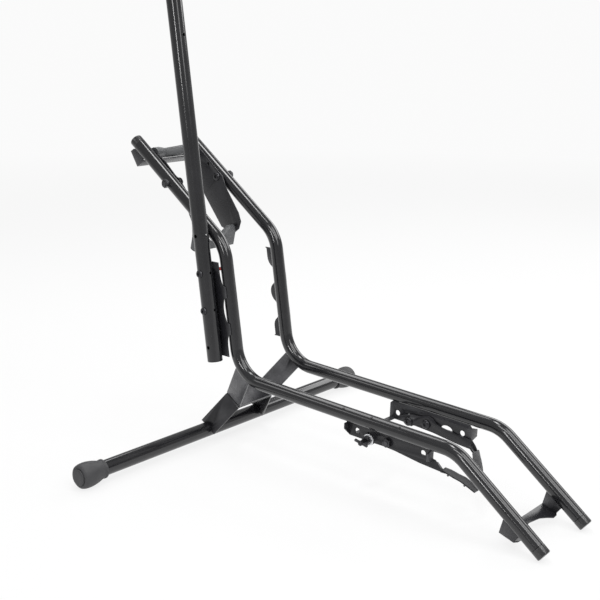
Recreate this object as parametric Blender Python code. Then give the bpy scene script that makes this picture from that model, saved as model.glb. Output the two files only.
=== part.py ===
"""Display stand that holds a bicycle upright by one wheel.

Two bent tube rails stand side by side on a cross tube with rubber feet and on their own front
ends. The wheel drops between the rails. A tilting rocker near the top and a tilting cradle near
the floor grip its tyre in V-shaped pads. A tall pole is bolted to the outside of the near rail.

Metres. +X runs towards the low front ends, +Y towards the far rail and +Z up from the floor.
Layouts are drawn in the XZ plane as pairs (x, z), measured from the corner of the rails' low bend,
and the finished stand is moved so that the middle of its footprint lies on the origin.
"""
from math import atan2, ceil, cos, pi, radians, sin, sqrt, tan

import bmesh
import bpy
from mathutils import Matrix, Vector

MM = 0.001

# Gaps between pieces
SEAT_GAP = 0.3 * MM
SLIP_GAP = 0.25 * MM
SWING_GAP = 0.6 * MM

# Rails
RAIL_DIAMETER = 21.7 * MM
RAIL_WALL = 1.6 * MM
RAIL_SPACING = 123.0 * MM
RAIL_BEND_RADIUS = 60.0 * MM
TOP_RUN = 264.2 * MM
TOP_RISE = radians(36.3)
MID_RUN = 221.1 * MM
MID_LEAN = radians(8.5)
LOW_RUN = 426.1 * MM
LOW_DROP = radians(2.0)
FRONT_RUN = 185.2 * MM
FRONT_DROP = radians(37.3)
RAIL_SIDES = 20
BEND_STEP = radians(14.0)

# Rail end caps
CAP_LENGTH = 14.0 * MM
CAP_EDGE = 1.8 * MM
CAP_SPIGOT = 12.0 * MM

# Base tube and feet
BASE_DIAMETER = 25.4 * MM
BASE_WALL = 1.5 * MM
BASE_REACH = 339.5 * MM
BASE_BACK = 82.4 * MM
FOOT_DIAMETER = 41.0 * MM
FOOT_LENGTH = 50.0 * MM
FOOT_SOLE = 9.0 * MM
FOOT_SIDES = 24

# Two bent brackets, welded back to back, between the rails and the base tube
BRACKET_THICKNESS = 2.5 * MM
BRACKET_WIDTH = 35.5 * MM
BRACKET_SLOPE = radians(32.0)
BRACKET_SPLAY = radians(17.5)
BRACKET_WEB_INSET = 20.7 * MM
BRACKET_FOLD = (-36.8 * MM, -54.6 * MM)
BRACKET_SINK = 8.0 * MM

# Sheet straps at both ends of the rails
STRAP_THICKNESS = 2.0 * MM
FRONT_STRAP_WIDTH = 25.0 * MM
FRONT_STRAP_FROM_END = 89.7 * MM
FRONT_STRAP_DROP = 41.7 * MM
FRONT_STRAP_SLOPE = radians(-17.5)
FRONT_STRAP_WAIST = 11.0 * MM
FRONT_STRAP_BULGE = 4.0 * MM
FRONT_TAB_FROM = 13.0 * MM
FRONT_TAB_TO = 37.0 * MM
FRONT_TAB_BELOW = 4.0 * MM
FRONT_TAB_KNEE = (4.0 * MM, 11.0 * MM)
REAR_STRAP_WIDTH = 20.5 * MM
REAR_STRAP_FROM_PAD = (-17.7817 * MM, -16.7572 * MM)
REAR_STRAP_SLOPE = radians(32.0)
REAR_STRAP_TAB = 29.0 * MM
REAR_STRAP_LIP = 9.0 * MM
REAR_STRAP_NECK = 20.0 * MM

# Pole
POLE_DIAMETER = 25.4 * MM
POLE_WALL = 1.5 * MM
POLE_LENGTH = 800.0 * MM
POLE_LEAN = radians(8.0)
POLE_FOOT_HEIGHT = 162.7 * MM
POLE_BEHIND_RAIL = 27.2 * MM
POLE_HOLE_DIAMETER = 6.2 * MM
POLE_HOLE_PITCH = 61.7 * MM
POLE_FIRST_HOLE = 24.8 * MM
POLE_HOLES = 4
POLE_BOLTED_HOLES = (1, 2)
POLE_FRONT_HOLE_DIAMETER = 4.6 * MM
POLE_UPPER_FRONT_HOLE = 528.8 * MM
POLE_SIDES = 24
POLE_PLUG_HEAD = 4.0 * MM
POLE_PLUG_SPIGOT = 16.0 * MM

# Eared plates on the outside of both rails
EAR_PLATE_THICKNESS = 2.0 * MM
EAR_HALF_HEIGHT = 16.5 * MM
EAR_BACK_BULGE = 9.2 * MM
EAR_BACK_MARGIN = 9.5 * MM
EAR_FRONT_HALF_HEIGHT = 19.0 * MM
EAR_FRONT_BULGE = 3.8 * MM
EAR_FRONT = 7.3 * MM
EAR_TAB_HALF_HEIGHT = 9.0 * MM
EAR_END = 17.5 * MM
EAR_SPUR = (2.2 * MM, 1.4 * MM)
TAB_REACH = 3.0 * MM
TAB_BACK = 24.0 * MM

# Fasteners, by thread: shank, head diameter, head height, key width, key depth
M5 = (5.0 * MM, 9.5 * MM, 3.0 * MM, 3.0 * MM, 1.6 * MM)
M6 = (6.0 * MM, 12.8 * MM, 3.2 * MM, 4.0 * MM, 1.8 * MM)
M8 = (8.0 * MM, 14.5 * MM, 3.2 * MM, 5.0 * MM, 1.8 * MM)
M6_NUT = (10.0 * MM, 5.0 * MM)
M8_NUT = (13.0 * MM, 6.5 * MM)
M8_THIN_NUT = (13.0 * MM, 4.0 * MM)
BOLT_SIDES = 12

# Upper rocker, in its own frame: u up along it, n out of its face towards the wheel
UPPER_PIVOT_ALONG = 153.4 * MM
ROCKER_TILT = radians(43.6)
ROCKER_INSET = 15.9 * MM
ROCKER_LENGTH = 183.0 * MM
ROCKER_THICKNESS = 2.0 * MM
ROCKER_ARM_WIDTH = 17.0 * MM
ROCKER_EYE_RATIO = 0.76
ROCKER_PLATE_HOLE_DIAMETER = 6.0 * MM
ROCKER_SPACER_DIAMETER = 16.0 * MM
ROCKER_PAD_TURN = radians(30.0)

# Plastic V pads
PAD_LENGTH = 16.5 * MM
PAD_DEPTH = 29.0 * MM
PAD_BACK = 8.0 * MM
PAD_LOBE = 12.0 * MM
PAD_SCREW_DEPTH = 10.0 * MM
PAD_CROWN_RATIO = 0.92
PAD_RIM_RATIO = 0.55
PAD_GROOVE_RATIO = 0.4
PAD_BASE_RATIO = 0.45

# Lower cradle, in its own frame: e forward along the low run, h up, from its pivot bolt
CRADLE_PIVOT_ALONG = 300.5 * MM
CRADLE_PIVOT_DROP = 27.7 * MM
CRADLE_THICKNESS = 2.0 * MM
CRADLE_LENGTH = 167.0 * MM
CRADLE_TILT = radians(12.0)
CRADLE_LOCK_BACK = 33.9 * MM
CRADLE_LOCK_DROP = 5.3 * MM

# V-shaped pad at the cradle's front: it slopes down forward, open to the rear
RAMP_START = (95.6 * MM, -17.9 * MM)
RAMP_SLOPE = radians(41.3)
RAMP_LENGTH = 51.7 * MM
RAMP_SIDE_GAP = 2.4 * MM
RAMP_WALL = 10.6 * MM
RAMP_RIM = 2.5 * MM
RAMP_SILL = 1.5 * MM
RAMP_TABS = (8.7 * MM, 33.2 * MM)
RAMP_TAB = (3.0 * MM, 3.0 * MM)
RAMP_TAB_INSET = 4.2 * MM
RAMP_TAB_REACH = 4.5 * MM
RAMP_WEB_TAIL = 15.4 * MM
RAMP_WEB_ARM = 7.6 * MM

# Low rest at the cradle's rear, between its side plates
REST_FROM = -69.0 * MM
REST_LENGTH = 22.0 * MM
REST_HALF_WIDTH = 24.0 * MM
REST_TOP = -2.2 * MM
REST_GROOVE = 2.5 * MM
REST_RIM = 8.0 * MM
REST_WEB_TOP = -6.5 * MM
REST_WEB_MARGIN = 1.0 * MM
REST_WEB_NECK = 30.0 * MM
REST_WEB_CROSS = 10.0 * MM

# Fixed plates that carry the cradle
CHEEK_THICKNESS = 2.0 * MM
CHEEK_INSET = 9.0 * MM
CHEEK_BACK = 71.7 * MM
CHEEK_FRONT = 81.5 * MM
CHEEK_REAR_DEPTH = 8.8 * MM
CHEEK_FRONT_DEPTH = 6.0 * MM
CHEEK_CORNER = 4.0 * MM
CHEEK_FLANGE = 15.0 * MM
CHEEK_REAR_FLANGE_EDGE = (5.0 * MM, 14.0 * MM)
CHEEK_FRONT_FLANGE_EDGE = (-1.0 * MM, 11.0 * MM)
CHEEK_HOLE_DIAMETER = 9.0 * MM
CHEEK_REAR_HOLE = (-57.0 * MM, 2.0 * MM)
CHEEK_FRONT_HOLE = (65.2 * MM, 3.2 * MM)
CHEEK_WINDOW_START = (36.8 * MM, 0.5 * MM)
CHEEK_WINDOW_LENGTH = 21.6 * MM
CHEEK_WINDOW_HEIGHT = 6.9 * MM
CHEEK_SLOT_WALL = 3.2 * MM

# Lock screw
LOCK_WASHER_DIAMETER = 18.0 * MM
LOCK_WASHER_THICKNESS = 2.0 * MM
LOCK_HEX_WIDTH = 13.0 * MM
LOCK_HEX_HEIGHT = 6.5 * MM
LOCK_SHANK_OUT = 14.5 * MM
LOCK_BAR_DIAMETER = 4.6 * MM
LOCK_BAR_LENGTH = 24.0 * MM
LOCK_BAR_DROOP = radians(9.0)
LOCK_BAR_SETBACK = 4.0 * MM

# Small plug in the near rail
RAIL_PLUG_DIAMETER = 4.0 * MM
RAIL_PLUG_HEAD_DIAMETER = 6.0 * MM
RAIL_PLUG_HEAD = 3.4 * MM
RAIL_PLUG_ALONG = 184.0 * MM
RAIL_PLUG_TURN = radians(38.0)

NEAR = -1
FAR = 1
SIDE_NAMES = {NEAR: "near", FAR: "far"}

RAIL_RADIUS = RAIL_DIAMETER / 2
RAIL_PLANE = RAIL_SPACING / 2
BASE_RADIUS = BASE_DIAMETER / 2
POLE_RADIUS = POLE_DIAMETER / 2
BRACKET_HALF_WEB = RAIL_PLANE - BRACKET_WEB_INSET
ROCKER_PLANE = RAIL_PLANE - ROCKER_INSET
CHEEK_PLANE = RAIL_PLANE - CHEEK_INSET
CRADLE_PLANE = CHEEK_PLANE - CHEEK_THICKNESS / 2 - SWING_GAP - CRADLE_THICKNESS / 2


# Layout in the XZ plane

def plane_direction(angle):
    """Unit pair (x, z) at an angle above +X."""
    return Vector((cos(angle), sin(angle)))


def square_to(direction):
    """The direction turned a quarter turn from +X towards +Z."""
    return Vector((-direction.y, direction.x))


def offset_point(origin, *steps):
    """Origin moved by (direction, distance) steps."""
    point = Vector(origin)
    for direction, distance in steps:
        point += direction * distance
    return point


UP_TOP = plane_direction(pi - TOP_RISE)
UP_MID = plane_direction(pi / 2 + MID_LEAN)
DOWN_LOW = plane_direction(-LOW_DROP)
DOWN_FRONT = plane_direction(-FRONT_DROP)
UP_POLE = plane_direction(pi / 2 + POLE_LEAN)


def cap_profile():
    """Rounded plug that closes a rail: (distance back from the tip, radius) pairs."""
    spigot = RAIL_RADIUS - RAIL_WALL - SLIP_GAP
    return [
        (0.0, RAIL_RADIUS - CAP_EDGE),
        (CAP_EDGE * (1 - cos(pi / 4)), RAIL_RADIUS - CAP_EDGE * (1 - sin(pi / 4))),
        (CAP_EDGE, RAIL_RADIUS),
        (CAP_LENGTH, RAIL_RADIUS),
        (CAP_LENGTH, spigot),
        (CAP_LENGTH + CAP_SPIGOT, spigot),
    ]


def rail_layout():
    """The rail's five corners from top to front, standing on the front cap's lowest edge."""
    rest_heights = [r * cos(FRONT_DROP) - back * sin(FRONT_DROP) for back, r in cap_profile()]
    front_height = max(rest_heights)
    low_height = front_height + FRONT_RUN * sin(FRONT_DROP) + LOW_RUN * sin(LOW_DROP)
    low_bend = Vector((0.0, low_height))
    mid_bend = offset_point(low_bend, (UP_MID, MID_RUN))
    top_end = offset_point(mid_bend, (UP_TOP, TOP_RUN))
    front_bend = offset_point(low_bend, (DOWN_LOW, LOW_RUN))
    front_end = offset_point(front_bend, (DOWN_FRONT, FRONT_RUN))
    return [top_end, mid_bend, low_bend, front_bend, front_end]


TOP_END, MID_BEND, LOW_BEND, FRONT_BEND, FRONT_END = rail_layout()
BASE_AXIS = Vector((-BASE_BACK, FOOT_DIAMETER / 2))
UPPER_PIVOT = offset_point(MID_BEND, (UP_TOP, UPPER_PIVOT_ALONG))
CRADLE_PIVOT = offset_point(
    LOW_BEND, (DOWN_LOW, CRADLE_PIVOT_ALONG), (square_to(DOWN_LOW), -CRADLE_PIVOT_DROP))


# Scene and material helpers

def clear_scene():
    for thing in list(bpy.data.objects):
        bpy.data.objects.remove(thing, do_unlink=True)


def make_material(name, color, roughness, metallic):
    material = bpy.data.materials.new(name)
    material.use_nodes = True
    shader = material.node_tree.nodes["Principled BSDF"]
    shader.inputs["Base Color"].default_value = (*color, 1.0)
    shader.inputs["Roughness"].default_value = roughness
    shader.inputs["Metallic"].default_value = metallic
    material.diffuse_color = (*color, 1.0)
    return material


def make_materials():
    return {
        "gloss_black_paint": make_material("gloss_black_paint", (0.012, 0.012, 0.014), 0.18, 0.0),
        "satin_black_paint": make_material("satin_black_paint", (0.022, 0.022, 0.025), 0.38, 0.0),
        "black_oxide": make_material("black_oxide", (0.03, 0.03, 0.032), 0.35, 0.8),
        "black_plastic": make_material("black_plastic", (0.015, 0.015, 0.016), 0.45, 0.0),
        "grey_plastic": make_material("grey_plastic", (0.20, 0.21, 0.22), 0.5, 0.0),
        "foot_rubber": make_material("foot_rubber", (0.025, 0.025, 0.026), 0.75, 0.0),
        "bright_zinc": make_material("bright_zinc", (0.72, 0.74, 0.78), 0.25, 1.0),
        "red_plastic": make_material("red_plastic", (0.6, 0.03, 0.02), 0.4, 0.0),
    }


def make_object(name, mesh_data, material, parent, matrix=None, smooth_angle=None):
    """One object under its parent. The matrix gives its place in the parent's frame."""
    mesh = bpy.data.meshes.new(name)
    bmesh.ops.recalc_face_normals(mesh_data, faces=mesh_data.faces)
    mesh_data.to_mesh(mesh)
    mesh_data.free()
    if smooth_angle is not None:
        mesh.shade_smooth()
        mesh.set_sharp_from_angle(angle=smooth_angle)
    thing = bpy.data.objects.new(name, mesh)
    bpy.context.collection.objects.link(thing)
    thing.parent = parent
    if matrix is not None:
        thing.matrix_basis = matrix
    if material is not None:
        mesh.materials.append(material)
    return thing


def make_empty(name, parent, point=(0.0, 0.0), turn=0.0):
    """An empty on a joint's axis at an (x, z) point, turned by an angle from +X towards +Z."""
    empty = bpy.data.objects.new(name, None)
    bpy.context.collection.objects.link(empty)
    empty.parent = parent
    empty.matrix_basis = Matrix.Translation((point[0], 0.0, point[1])) @ Matrix.Rotation(-turn, 4, "Y")
    return empty


def along_line(point, direction):
    """Matrix that puts a piece drawn along +Z at a point, along a direction."""
    turn = Vector(direction).to_track_quat("Z", "X").to_matrix().to_4x4()
    return Matrix.Translation(point) @ turn


def along_width(point, y, side):
    """Matrix for a piece drawn along +Z that lies along Y, pointing outwards on its side."""
    return along_line((point[0], y, point[1]), (0.0, float(side), 0.0))


def cut_with(thing, *cutters):
    for cutter in cutters:
        modifier = thing.modifiers.new("cut_" + cutter.name, "BOOLEAN")
        modifier.operation = "DIFFERENCE"
        modifier.solver = "EXACT"
        modifier.object = cutter


def hide_cutter(cutter):
    cutter.hide_render = True
    cutter.display_type = "WIRE"
    return cutter


# Shape builders

def hex_radius(width, angle):
    """Distance to a hexagon's side at an angle, for its width across flats."""
    return width / 2 / cos((angle + pi / 6) % (pi / 3) - pi / 6)


def add_ring(mesh_data, height, radius, sides, hexagonal=False):
    ring = []
    for index in range(sides):
        angle = 2 * pi * index / sides
        reach = hex_radius(2 * radius, angle) if hexagonal else radius
        ring.append(mesh_data.verts.new((reach * cos(angle), reach * sin(angle), height)))
    return ring


def join_rings(mesh_data, rings, closed):
    pairs = list(zip(rings, rings[1:]))
    if closed:
        pairs.append((rings[-1], rings[0]))
    for lower, upper in pairs:
        count = len(lower)
        for index in range(count):
            after = (index + 1) % count
            mesh_data.faces.new((lower[index], lower[after], upper[after], upper[index]))


def turned(profile, sides, closed=False):
    """Solid of revolution about +Z from (height, radius) or (height, radius, "hex") entries.

    An open profile gets flat end caps. A closed one goes round a bore.
    """
    mesh_data = bmesh.new()
    rings = [add_ring(mesh_data, entry[0], entry[1], sides, len(entry) > 2) for entry in profile]
    join_rings(mesh_data, rings, closed)
    if not closed:
        mesh_data.faces.new(rings[0])
        mesh_data.faces.new(rings[-1])
    return mesh_data


def bend_stations(corners, bend_radius):
    """Centre points and tangents along a planar path whose inner corners are rounded."""
    stations = []
    first = (corners[1] - corners[0]).normalized()
    stations.append((corners[0], first))
    for before, corner, after in zip(corners, corners[1:], corners[2:]):
        inward = (corner - before).normalized()
        outward = (after - corner).normalized()
        turn = atan2(inward.x * outward.y - inward.y * outward.x, inward.dot(outward))
        start = corner - inward * bend_radius * tan(abs(turn) / 2)
        side = 1 if turn > 0 else -1
        centre = start + square_to(inward) * bend_radius * side
        steps = ceil(abs(turn) / BEND_STEP)
        for step in range(steps + 1):
            angle = turn * step / steps
            tangent = Vector((inward.x * cos(angle) - inward.y * sin(angle),
                              inward.x * sin(angle) + inward.y * cos(angle)))
            stations.append((centre - square_to(tangent) * bend_radius * side, tangent))
    last = (corners[-1] - corners[-2]).normalized()
    stations.append((corners[-1], last))
    return stations


def path_rings(mesh_data, stations, radius, sides):
    rings = []
    for centre, tangent in stations:
        normal = square_to(tangent)
        ring = []
        for index in range(sides):
            angle = 2 * pi * index / sides
            across = normal * radius * cos(angle)
            ring.append(mesh_data.verts.new(
                (centre.x + across.x, radius * sin(angle), centre.y + across.y)))
        rings.append(ring)
    return rings


def bent_tube(corners, bend_radius, radius, bore, sides):
    """Round tube in the XZ plane, or a solid rod where the bore is nothing."""
    mesh_data = bmesh.new()
    stations = bend_stations(corners, bend_radius)
    rings = path_rings(mesh_data, stations, radius, sides)
    if bore:
        rings += reversed(path_rings(mesh_data, stations, bore, sides))
        join_rings(mesh_data, rings, closed=True)
    else:
        join_rings(mesh_data, rings, closed=False)
        mesh_data.faces.new(rings[0])
        mesh_data.faces.new(rings[-1])
    return mesh_data


def circle_points(centre, radius, sides=12):
    return [Vector(centre) + plane_direction(2 * pi * index / sides) * radius for index in range(sides)]


def arc_slot(centre, arc_radius, middle_angle, half_sweep, half_width, steps=4):
    """Outline of a slot that follows an arc about a centre."""
    outline = []
    for step in range(steps + 1):
        angle = middle_angle - half_sweep + 2 * half_sweep * step / steps
        outline.append(Vector(centre) + plane_direction(angle) * (arc_radius + half_width))
    end = Vector(centre) + plane_direction(middle_angle + half_sweep) * arc_radius
    for step in range(1, steps):
        angle = middle_angle + half_sweep + pi * step / steps
        outline.append(end + plane_direction(angle) * half_width)
    for step in range(steps + 1):
        angle = middle_angle + half_sweep - 2 * half_sweep * step / steps
        outline.append(Vector(centre) + plane_direction(angle) * (arc_radius - half_width))
    start = Vector(centre) + plane_direction(middle_angle - half_sweep) * arc_radius
    for step in range(1, steps):
        angle = middle_angle - half_sweep + pi + pi * step / steps
        outline.append(start + plane_direction(angle) * half_width)
    return outline


def flat_panel(outline, y=0.0):
    """An (x, z) outline as 3-D points in the plane at y."""
    return [Vector((point[0], y, point[1])) for point in outline]


def add_panel(mesh_data, outline, holes=()):
    """A flat face with holes."""
    if not holes:
        mesh_data.faces.new([mesh_data.verts.new(point) for point in outline])
        return
    edges = []
    for loop in (outline, *holes):
        verts = [mesh_data.verts.new(point) for point in loop]
        edges += [mesh_data.edges.new((verts[index - 1], vert)) for index, vert in enumerate(verts)]
    bmesh.ops.triangle_fill(mesh_data, use_beauty=True, use_dissolve=False, edges=edges)


def sheet(name, panels, thickness, material, parent, matrix=None):
    """Bent sheet metal: flat panels joined along their folds, thickened about their middle."""
    mesh_data = bmesh.new()
    for panel in panels:
        outline, *holes = panel
        add_panel(mesh_data, outline, holes)
    bmesh.ops.remove_doubles(mesh_data, verts=mesh_data.verts, dist=0.001 * MM)
    thing = make_object(name, mesh_data, material, parent, matrix)
    solidify = thing.modifiers.new("thickness", "SOLIDIFY")
    solidify.thickness = thickness
    solidify.offset = 0.0
    solidify.use_even_offset = True
    return thing


# Fasteners

def bolt(name, size, grip, material, parent, matrix):
    """Button-head socket bolt. Its head seats on z = 0 and its shank runs down to -grip."""
    shank, head, height, key, key_depth = size
    edge = height * 0.35
    profile = [
        (-grip, shank / 2),
        (0.0, shank / 2),
        (0.0, head / 2),
        (height - edge, head / 2 - edge * 0.25),
        (height, head / 2 - edge),
        (height, key / 2, "hex"),
        (height - key_depth, key / 2, "hex"),
    ]
    return make_object(name, turned(profile, BOLT_SIDES), material, parent, matrix, radians(35))


def nut(name, size, shank, material, parent, matrix):
    """Hexagon nut standing on z = 0, bored to clear the shank."""
    width, height = size
    bore = shank / 2 + SLIP_GAP
    profile = [(0.0, width / 2, "hex"), (height, width / 2, "hex"), (height, bore), (0.0, bore)]
    return make_object(name, turned(profile, BOLT_SIDES, closed=True), material, parent, matrix)


def spacer(name, outer, bore, length, material, parent, matrix):
    profile = [(0.0, outer / 2), (length, outer / 2), (length, bore / 2), (0.0, bore / 2)]
    mesh_data = turned(profile, BOLT_SIDES, closed=True)
    return make_object(name, mesh_data, material, parent, matrix, radians(35))


def cross_cutter(name, point, y, length, diameter, parent, direction=(0.0, 1.0, 0.0)):
    """Round cutter centred on a point, along a direction."""
    mesh_data = turned([(-length / 2, diameter / 2), (length / 2, diameter / 2)], BOLT_SIDES)
    matrix = along_line((point[0], y, point[1]), direction)
    return hide_cutter(make_object(name, mesh_data, None, parent, matrix))


# Rails, caps and their cutters

def rail_centreline():
    """Corners of the bare rail tube, which stops short of the caps' heads."""
    top = offset_point(TOP_END, (UP_TOP, -CAP_LENGTH - SEAT_GAP))
    front = offset_point(FRONT_END, (DOWN_FRONT, -CAP_LENGTH - SEAT_GAP))
    return [top, MID_BEND, LOW_BEND, FRONT_BEND, front]


def build_rails(stand, materials):
    rails = {}
    clearances = {}
    for side, word in SIDE_NAMES.items():
        place = Matrix.Translation((0.0, side * RAIL_PLANE, 0.0))
        tube = bent_tube(rail_centreline(), RAIL_BEND_RADIUS, RAIL_RADIUS,
                         RAIL_RADIUS - RAIL_WALL, RAIL_SIDES)
        rails[side] = make_object("rail_" + word, tube, materials["gloss_black_paint"], stand,
                                  place, radians(40))
        rod = bent_tube([TOP_END, MID_BEND, LOW_BEND, FRONT_BEND, FRONT_END], RAIL_BEND_RADIUS,
                        RAIL_RADIUS + SEAT_GAP, 0.0, RAIL_SIDES)
        clearances[side] = hide_cutter(
            make_object("rail_clearance_" + word, rod, None, stand, place))
        for end_name, end, direction in (("top", TOP_END, UP_TOP), ("front", FRONT_END, DOWN_FRONT)):
            inward = (-direction.x, 0.0, -direction.y)
            matrix = along_line((end.x, side * RAIL_PLANE, end.y), inward)
            make_object("rail_cap_" + end_name + "_" + word, turned(cap_profile(), RAIL_SIDES),
                        materials["black_plastic"], stand, matrix, radians(50))
    return rails, clearances


def build_rail_plug(stand, materials, rails):
    """Small round-headed red plug in the near rail's middle run, behind and a little outwards."""
    axis_point = offset_point(LOW_BEND, (UP_MID, RAIL_PLUG_ALONG))
    back = square_to(UP_MID) * cos(RAIL_PLUG_TURN)
    direction = (back.x, NEAR * sin(RAIL_PLUG_TURN), back.y)
    seat = offset_point(axis_point, (back, RAIL_RADIUS))
    y = NEAR * RAIL_PLANE + direction[1] * RAIL_RADIUS
    hole = cross_cutter("rail_plug_hole", seat, y, 4 * RAIL_WALL,
                        RAIL_PLUG_DIAMETER + 2 * SLIP_GAP, stand, direction)
    cut_with(rails[NEAR], hole)
    head = RAIL_PLUG_HEAD_DIAMETER / 2
    profile = [
        (-RAIL_WALL - 1.0 * MM, RAIL_PLUG_DIAMETER / 2),
        (SEAT_GAP, RAIL_PLUG_DIAMETER / 2),
        (SEAT_GAP, head * 0.92),
        (RAIL_PLUG_HEAD * 0.35, head),
        (RAIL_PLUG_HEAD * 0.75, head * 0.78),
        (RAIL_PLUG_HEAD, head * 0.3),
    ]
    make_object("rail_plug", turned(profile, BOLT_SIDES), materials["red_plastic"], stand,
                along_line((seat.x, y, seat.y), direction), radians(35))


# Base tube, feet and the brackets that carry the rails

def build_base(stand, materials):
    radius = BASE_RADIUS
    length = BASE_REACH - FOOT_SOLE - SEAT_GAP
    bore = radius - BASE_WALL
    profile = [(-length, radius), (length, radius), (length, bore), (-length, bore)]
    make_object("base_tube", turned(profile, POLE_SIDES, closed=True),
                materials["gloss_black_paint"], stand, along_width(BASE_AXIS, 0.0, FAR), radians(40))
    rod = turned([(-length, radius + SEAT_GAP), (length, radius + SEAT_GAP)], POLE_SIDES)
    clearance = hide_cutter(make_object("base_clearance", rod, None, stand,
                                        along_width(BASE_AXIS, 0.0, FAR)))
    for side, word in SIDE_NAMES.items():
        matrix = along_width(BASE_AXIS, side * BASE_REACH, -side)
        make_object("foot_" + word, turned(foot_profile(), FOOT_SIDES), materials["foot_rubber"],
                    stand, matrix, radians(40))
    return clearance


def foot_profile():
    """Rubber foot from its outer face inwards: a flat face, a belly, a taper and a thin collar."""
    widest = FOOT_DIAMETER / 2
    bore = BASE_RADIUS + SEAT_GAP
    neck = bore + 1.9 * MM
    collar = bore + 2.8 * MM
    return [
        (0.0, widest * 0.69),
        (FOOT_LENGTH * 0.02, widest * 0.74),
        (FOOT_LENGTH * 0.12, widest * 0.93),
        (FOOT_LENGTH * 0.22, widest * 0.99),
        (FOOT_LENGTH * 0.30, widest),
        (FOOT_LENGTH * 0.42, widest * 0.99),
        (FOOT_LENGTH * 0.60, widest * 0.92),
        (FOOT_LENGTH * 0.80, widest * 0.79),
        (FOOT_LENGTH * 0.90, neck),
        (FOOT_LENGTH * 0.93, collar),
        (FOOT_LENGTH, collar),
        (FOOT_LENGTH, bore),
        (FOOT_SOLE, bore),
    ]


def bracket_panels(web_middle, direction, reach, half_web):
    """Web and two splayed flanges of a bent strip. The reach runs along the flanges in XZ."""
    across = plane_direction(pi - BRACKET_SLOPE) * (BRACKET_WIDTH / 2)
    spread = reach * tan(BRACKET_SPLAY)
    near_edge = web_middle - across
    far_edge = web_middle + across
    end = direction * reach
    panels = []
    for side in SIDE_NAMES:
        y = side * half_web
        y_end = side * (half_web + spread)
        panels.append([[
            Vector((near_edge.x, y, near_edge.y)),
            Vector((far_edge.x, y, far_edge.y)),
            Vector((far_edge.x + end.x, y_end, far_edge.y + end.y)),
            Vector((near_edge.x + end.x, y_end, near_edge.y + end.y)),
        ]])
    web = [(near_edge, -half_web), (near_edge, half_web), (far_edge, half_web), (far_edge, -half_web)]
    panels.append([[Vector((point.x, y, point.y)) for point, y in web]])
    return panels


def build_brackets(stand, materials, rail_clearances, base_clearance):
    """Upper bracket up to the rails' low bends and lower bracket down to the base tube."""
    fold = LOW_BEND + Vector(BRACKET_FOLD)
    normal = plane_direction(pi / 2 - BRACKET_SLOPE)
    down = (BASE_AXIS - fold).normalized()
    half_gap = (BRACKET_THICKNESS + SEAT_GAP) / 2
    rail_reach = (RAIL_PLANE - BRACKET_HALF_WEB) / tan(BRACKET_SPLAY)
    base_reach = (BASE_AXIS - fold).length - BASE_RADIUS + BRACKET_SINK / 2
    upper = bracket_panels(offset_point(fold, (normal, half_gap)), -down, rail_reach + BRACKET_SINK,
                           BRACKET_HALF_WEB)
    lower = bracket_panels(offset_point(fold, (normal, -half_gap)), down, base_reach, BRACKET_HALF_WEB)
    rail_bracket = sheet("rail_bracket", upper, BRACKET_THICKNESS, materials["satin_black_paint"], stand)
    cut_with(rail_bracket, *rail_clearances.values())
    base_bracket = sheet("base_bracket", lower, BRACKET_THICKNESS, materials["satin_black_paint"], stand)
    cut_with(base_bracket, base_clearance)


# Straps across the rails' ends

def build_front_strap(stand, materials, rail_clearances):
    """Sheet strap with a waisted web and a tab up to each rail's underside."""
    forward = plane_direction(FRONT_STRAP_SLOPE)
    up = square_to(forward)
    on_rail = offset_point(FRONT_END, (DOWN_FRONT, -FRONT_STRAP_FROM_END))
    rear = offset_point(on_rail, (Vector((0.0, 1.0)), -FRONT_STRAP_DROP))
    front = offset_point(rear, (forward, FRONT_STRAP_WIDTH))
    below = (square_to(DOWN_FRONT), -FRONT_TAB_BELOW)
    rear_top = offset_point(on_rail, (DOWN_FRONT, FRONT_TAB_FROM), below)
    front_top = offset_point(on_rail, (DOWN_FRONT, FRONT_TAB_TO), below)
    knee = offset_point(front, (forward, FRONT_TAB_KNEE[0]), (up, FRONT_TAB_KNEE[1]))
    panels = []
    for side in SIDE_NAMES:
        tab = [rear, front, knee, front_top, rear_top]
        panels.append([flat_panel(tab, side * RAIL_PLANE)])
    bulge = FRONT_STRAP_BULGE
    half_edge = [(1.0, 0.0), (0.9, 0.875 * bulge), (0.75, bulge), (0.6, -0.5 * bulge),
                 (0.4, -0.7 * FRONT_STRAP_WAIST), (0.0, -FRONT_STRAP_WAIST)]
    web = [Vector((rear.x, NEAR * RAIL_PLANE, rear.y)), Vector((rear.x, FAR * RAIL_PLANE, rear.y))]
    for share, step in half_edge + [(-share, step) for share, step in half_edge[-2::-1]]:
        edge = offset_point(front, (forward, step))
        web.append(Vector((edge.x, share * RAIL_PLANE, edge.y)))
    panels.append([web])
    strap = sheet("front_strap", panels, STRAP_THICKNESS, materials["satin_black_paint"], stand)
    cut_with(strap, *rail_clearances.values())


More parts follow.
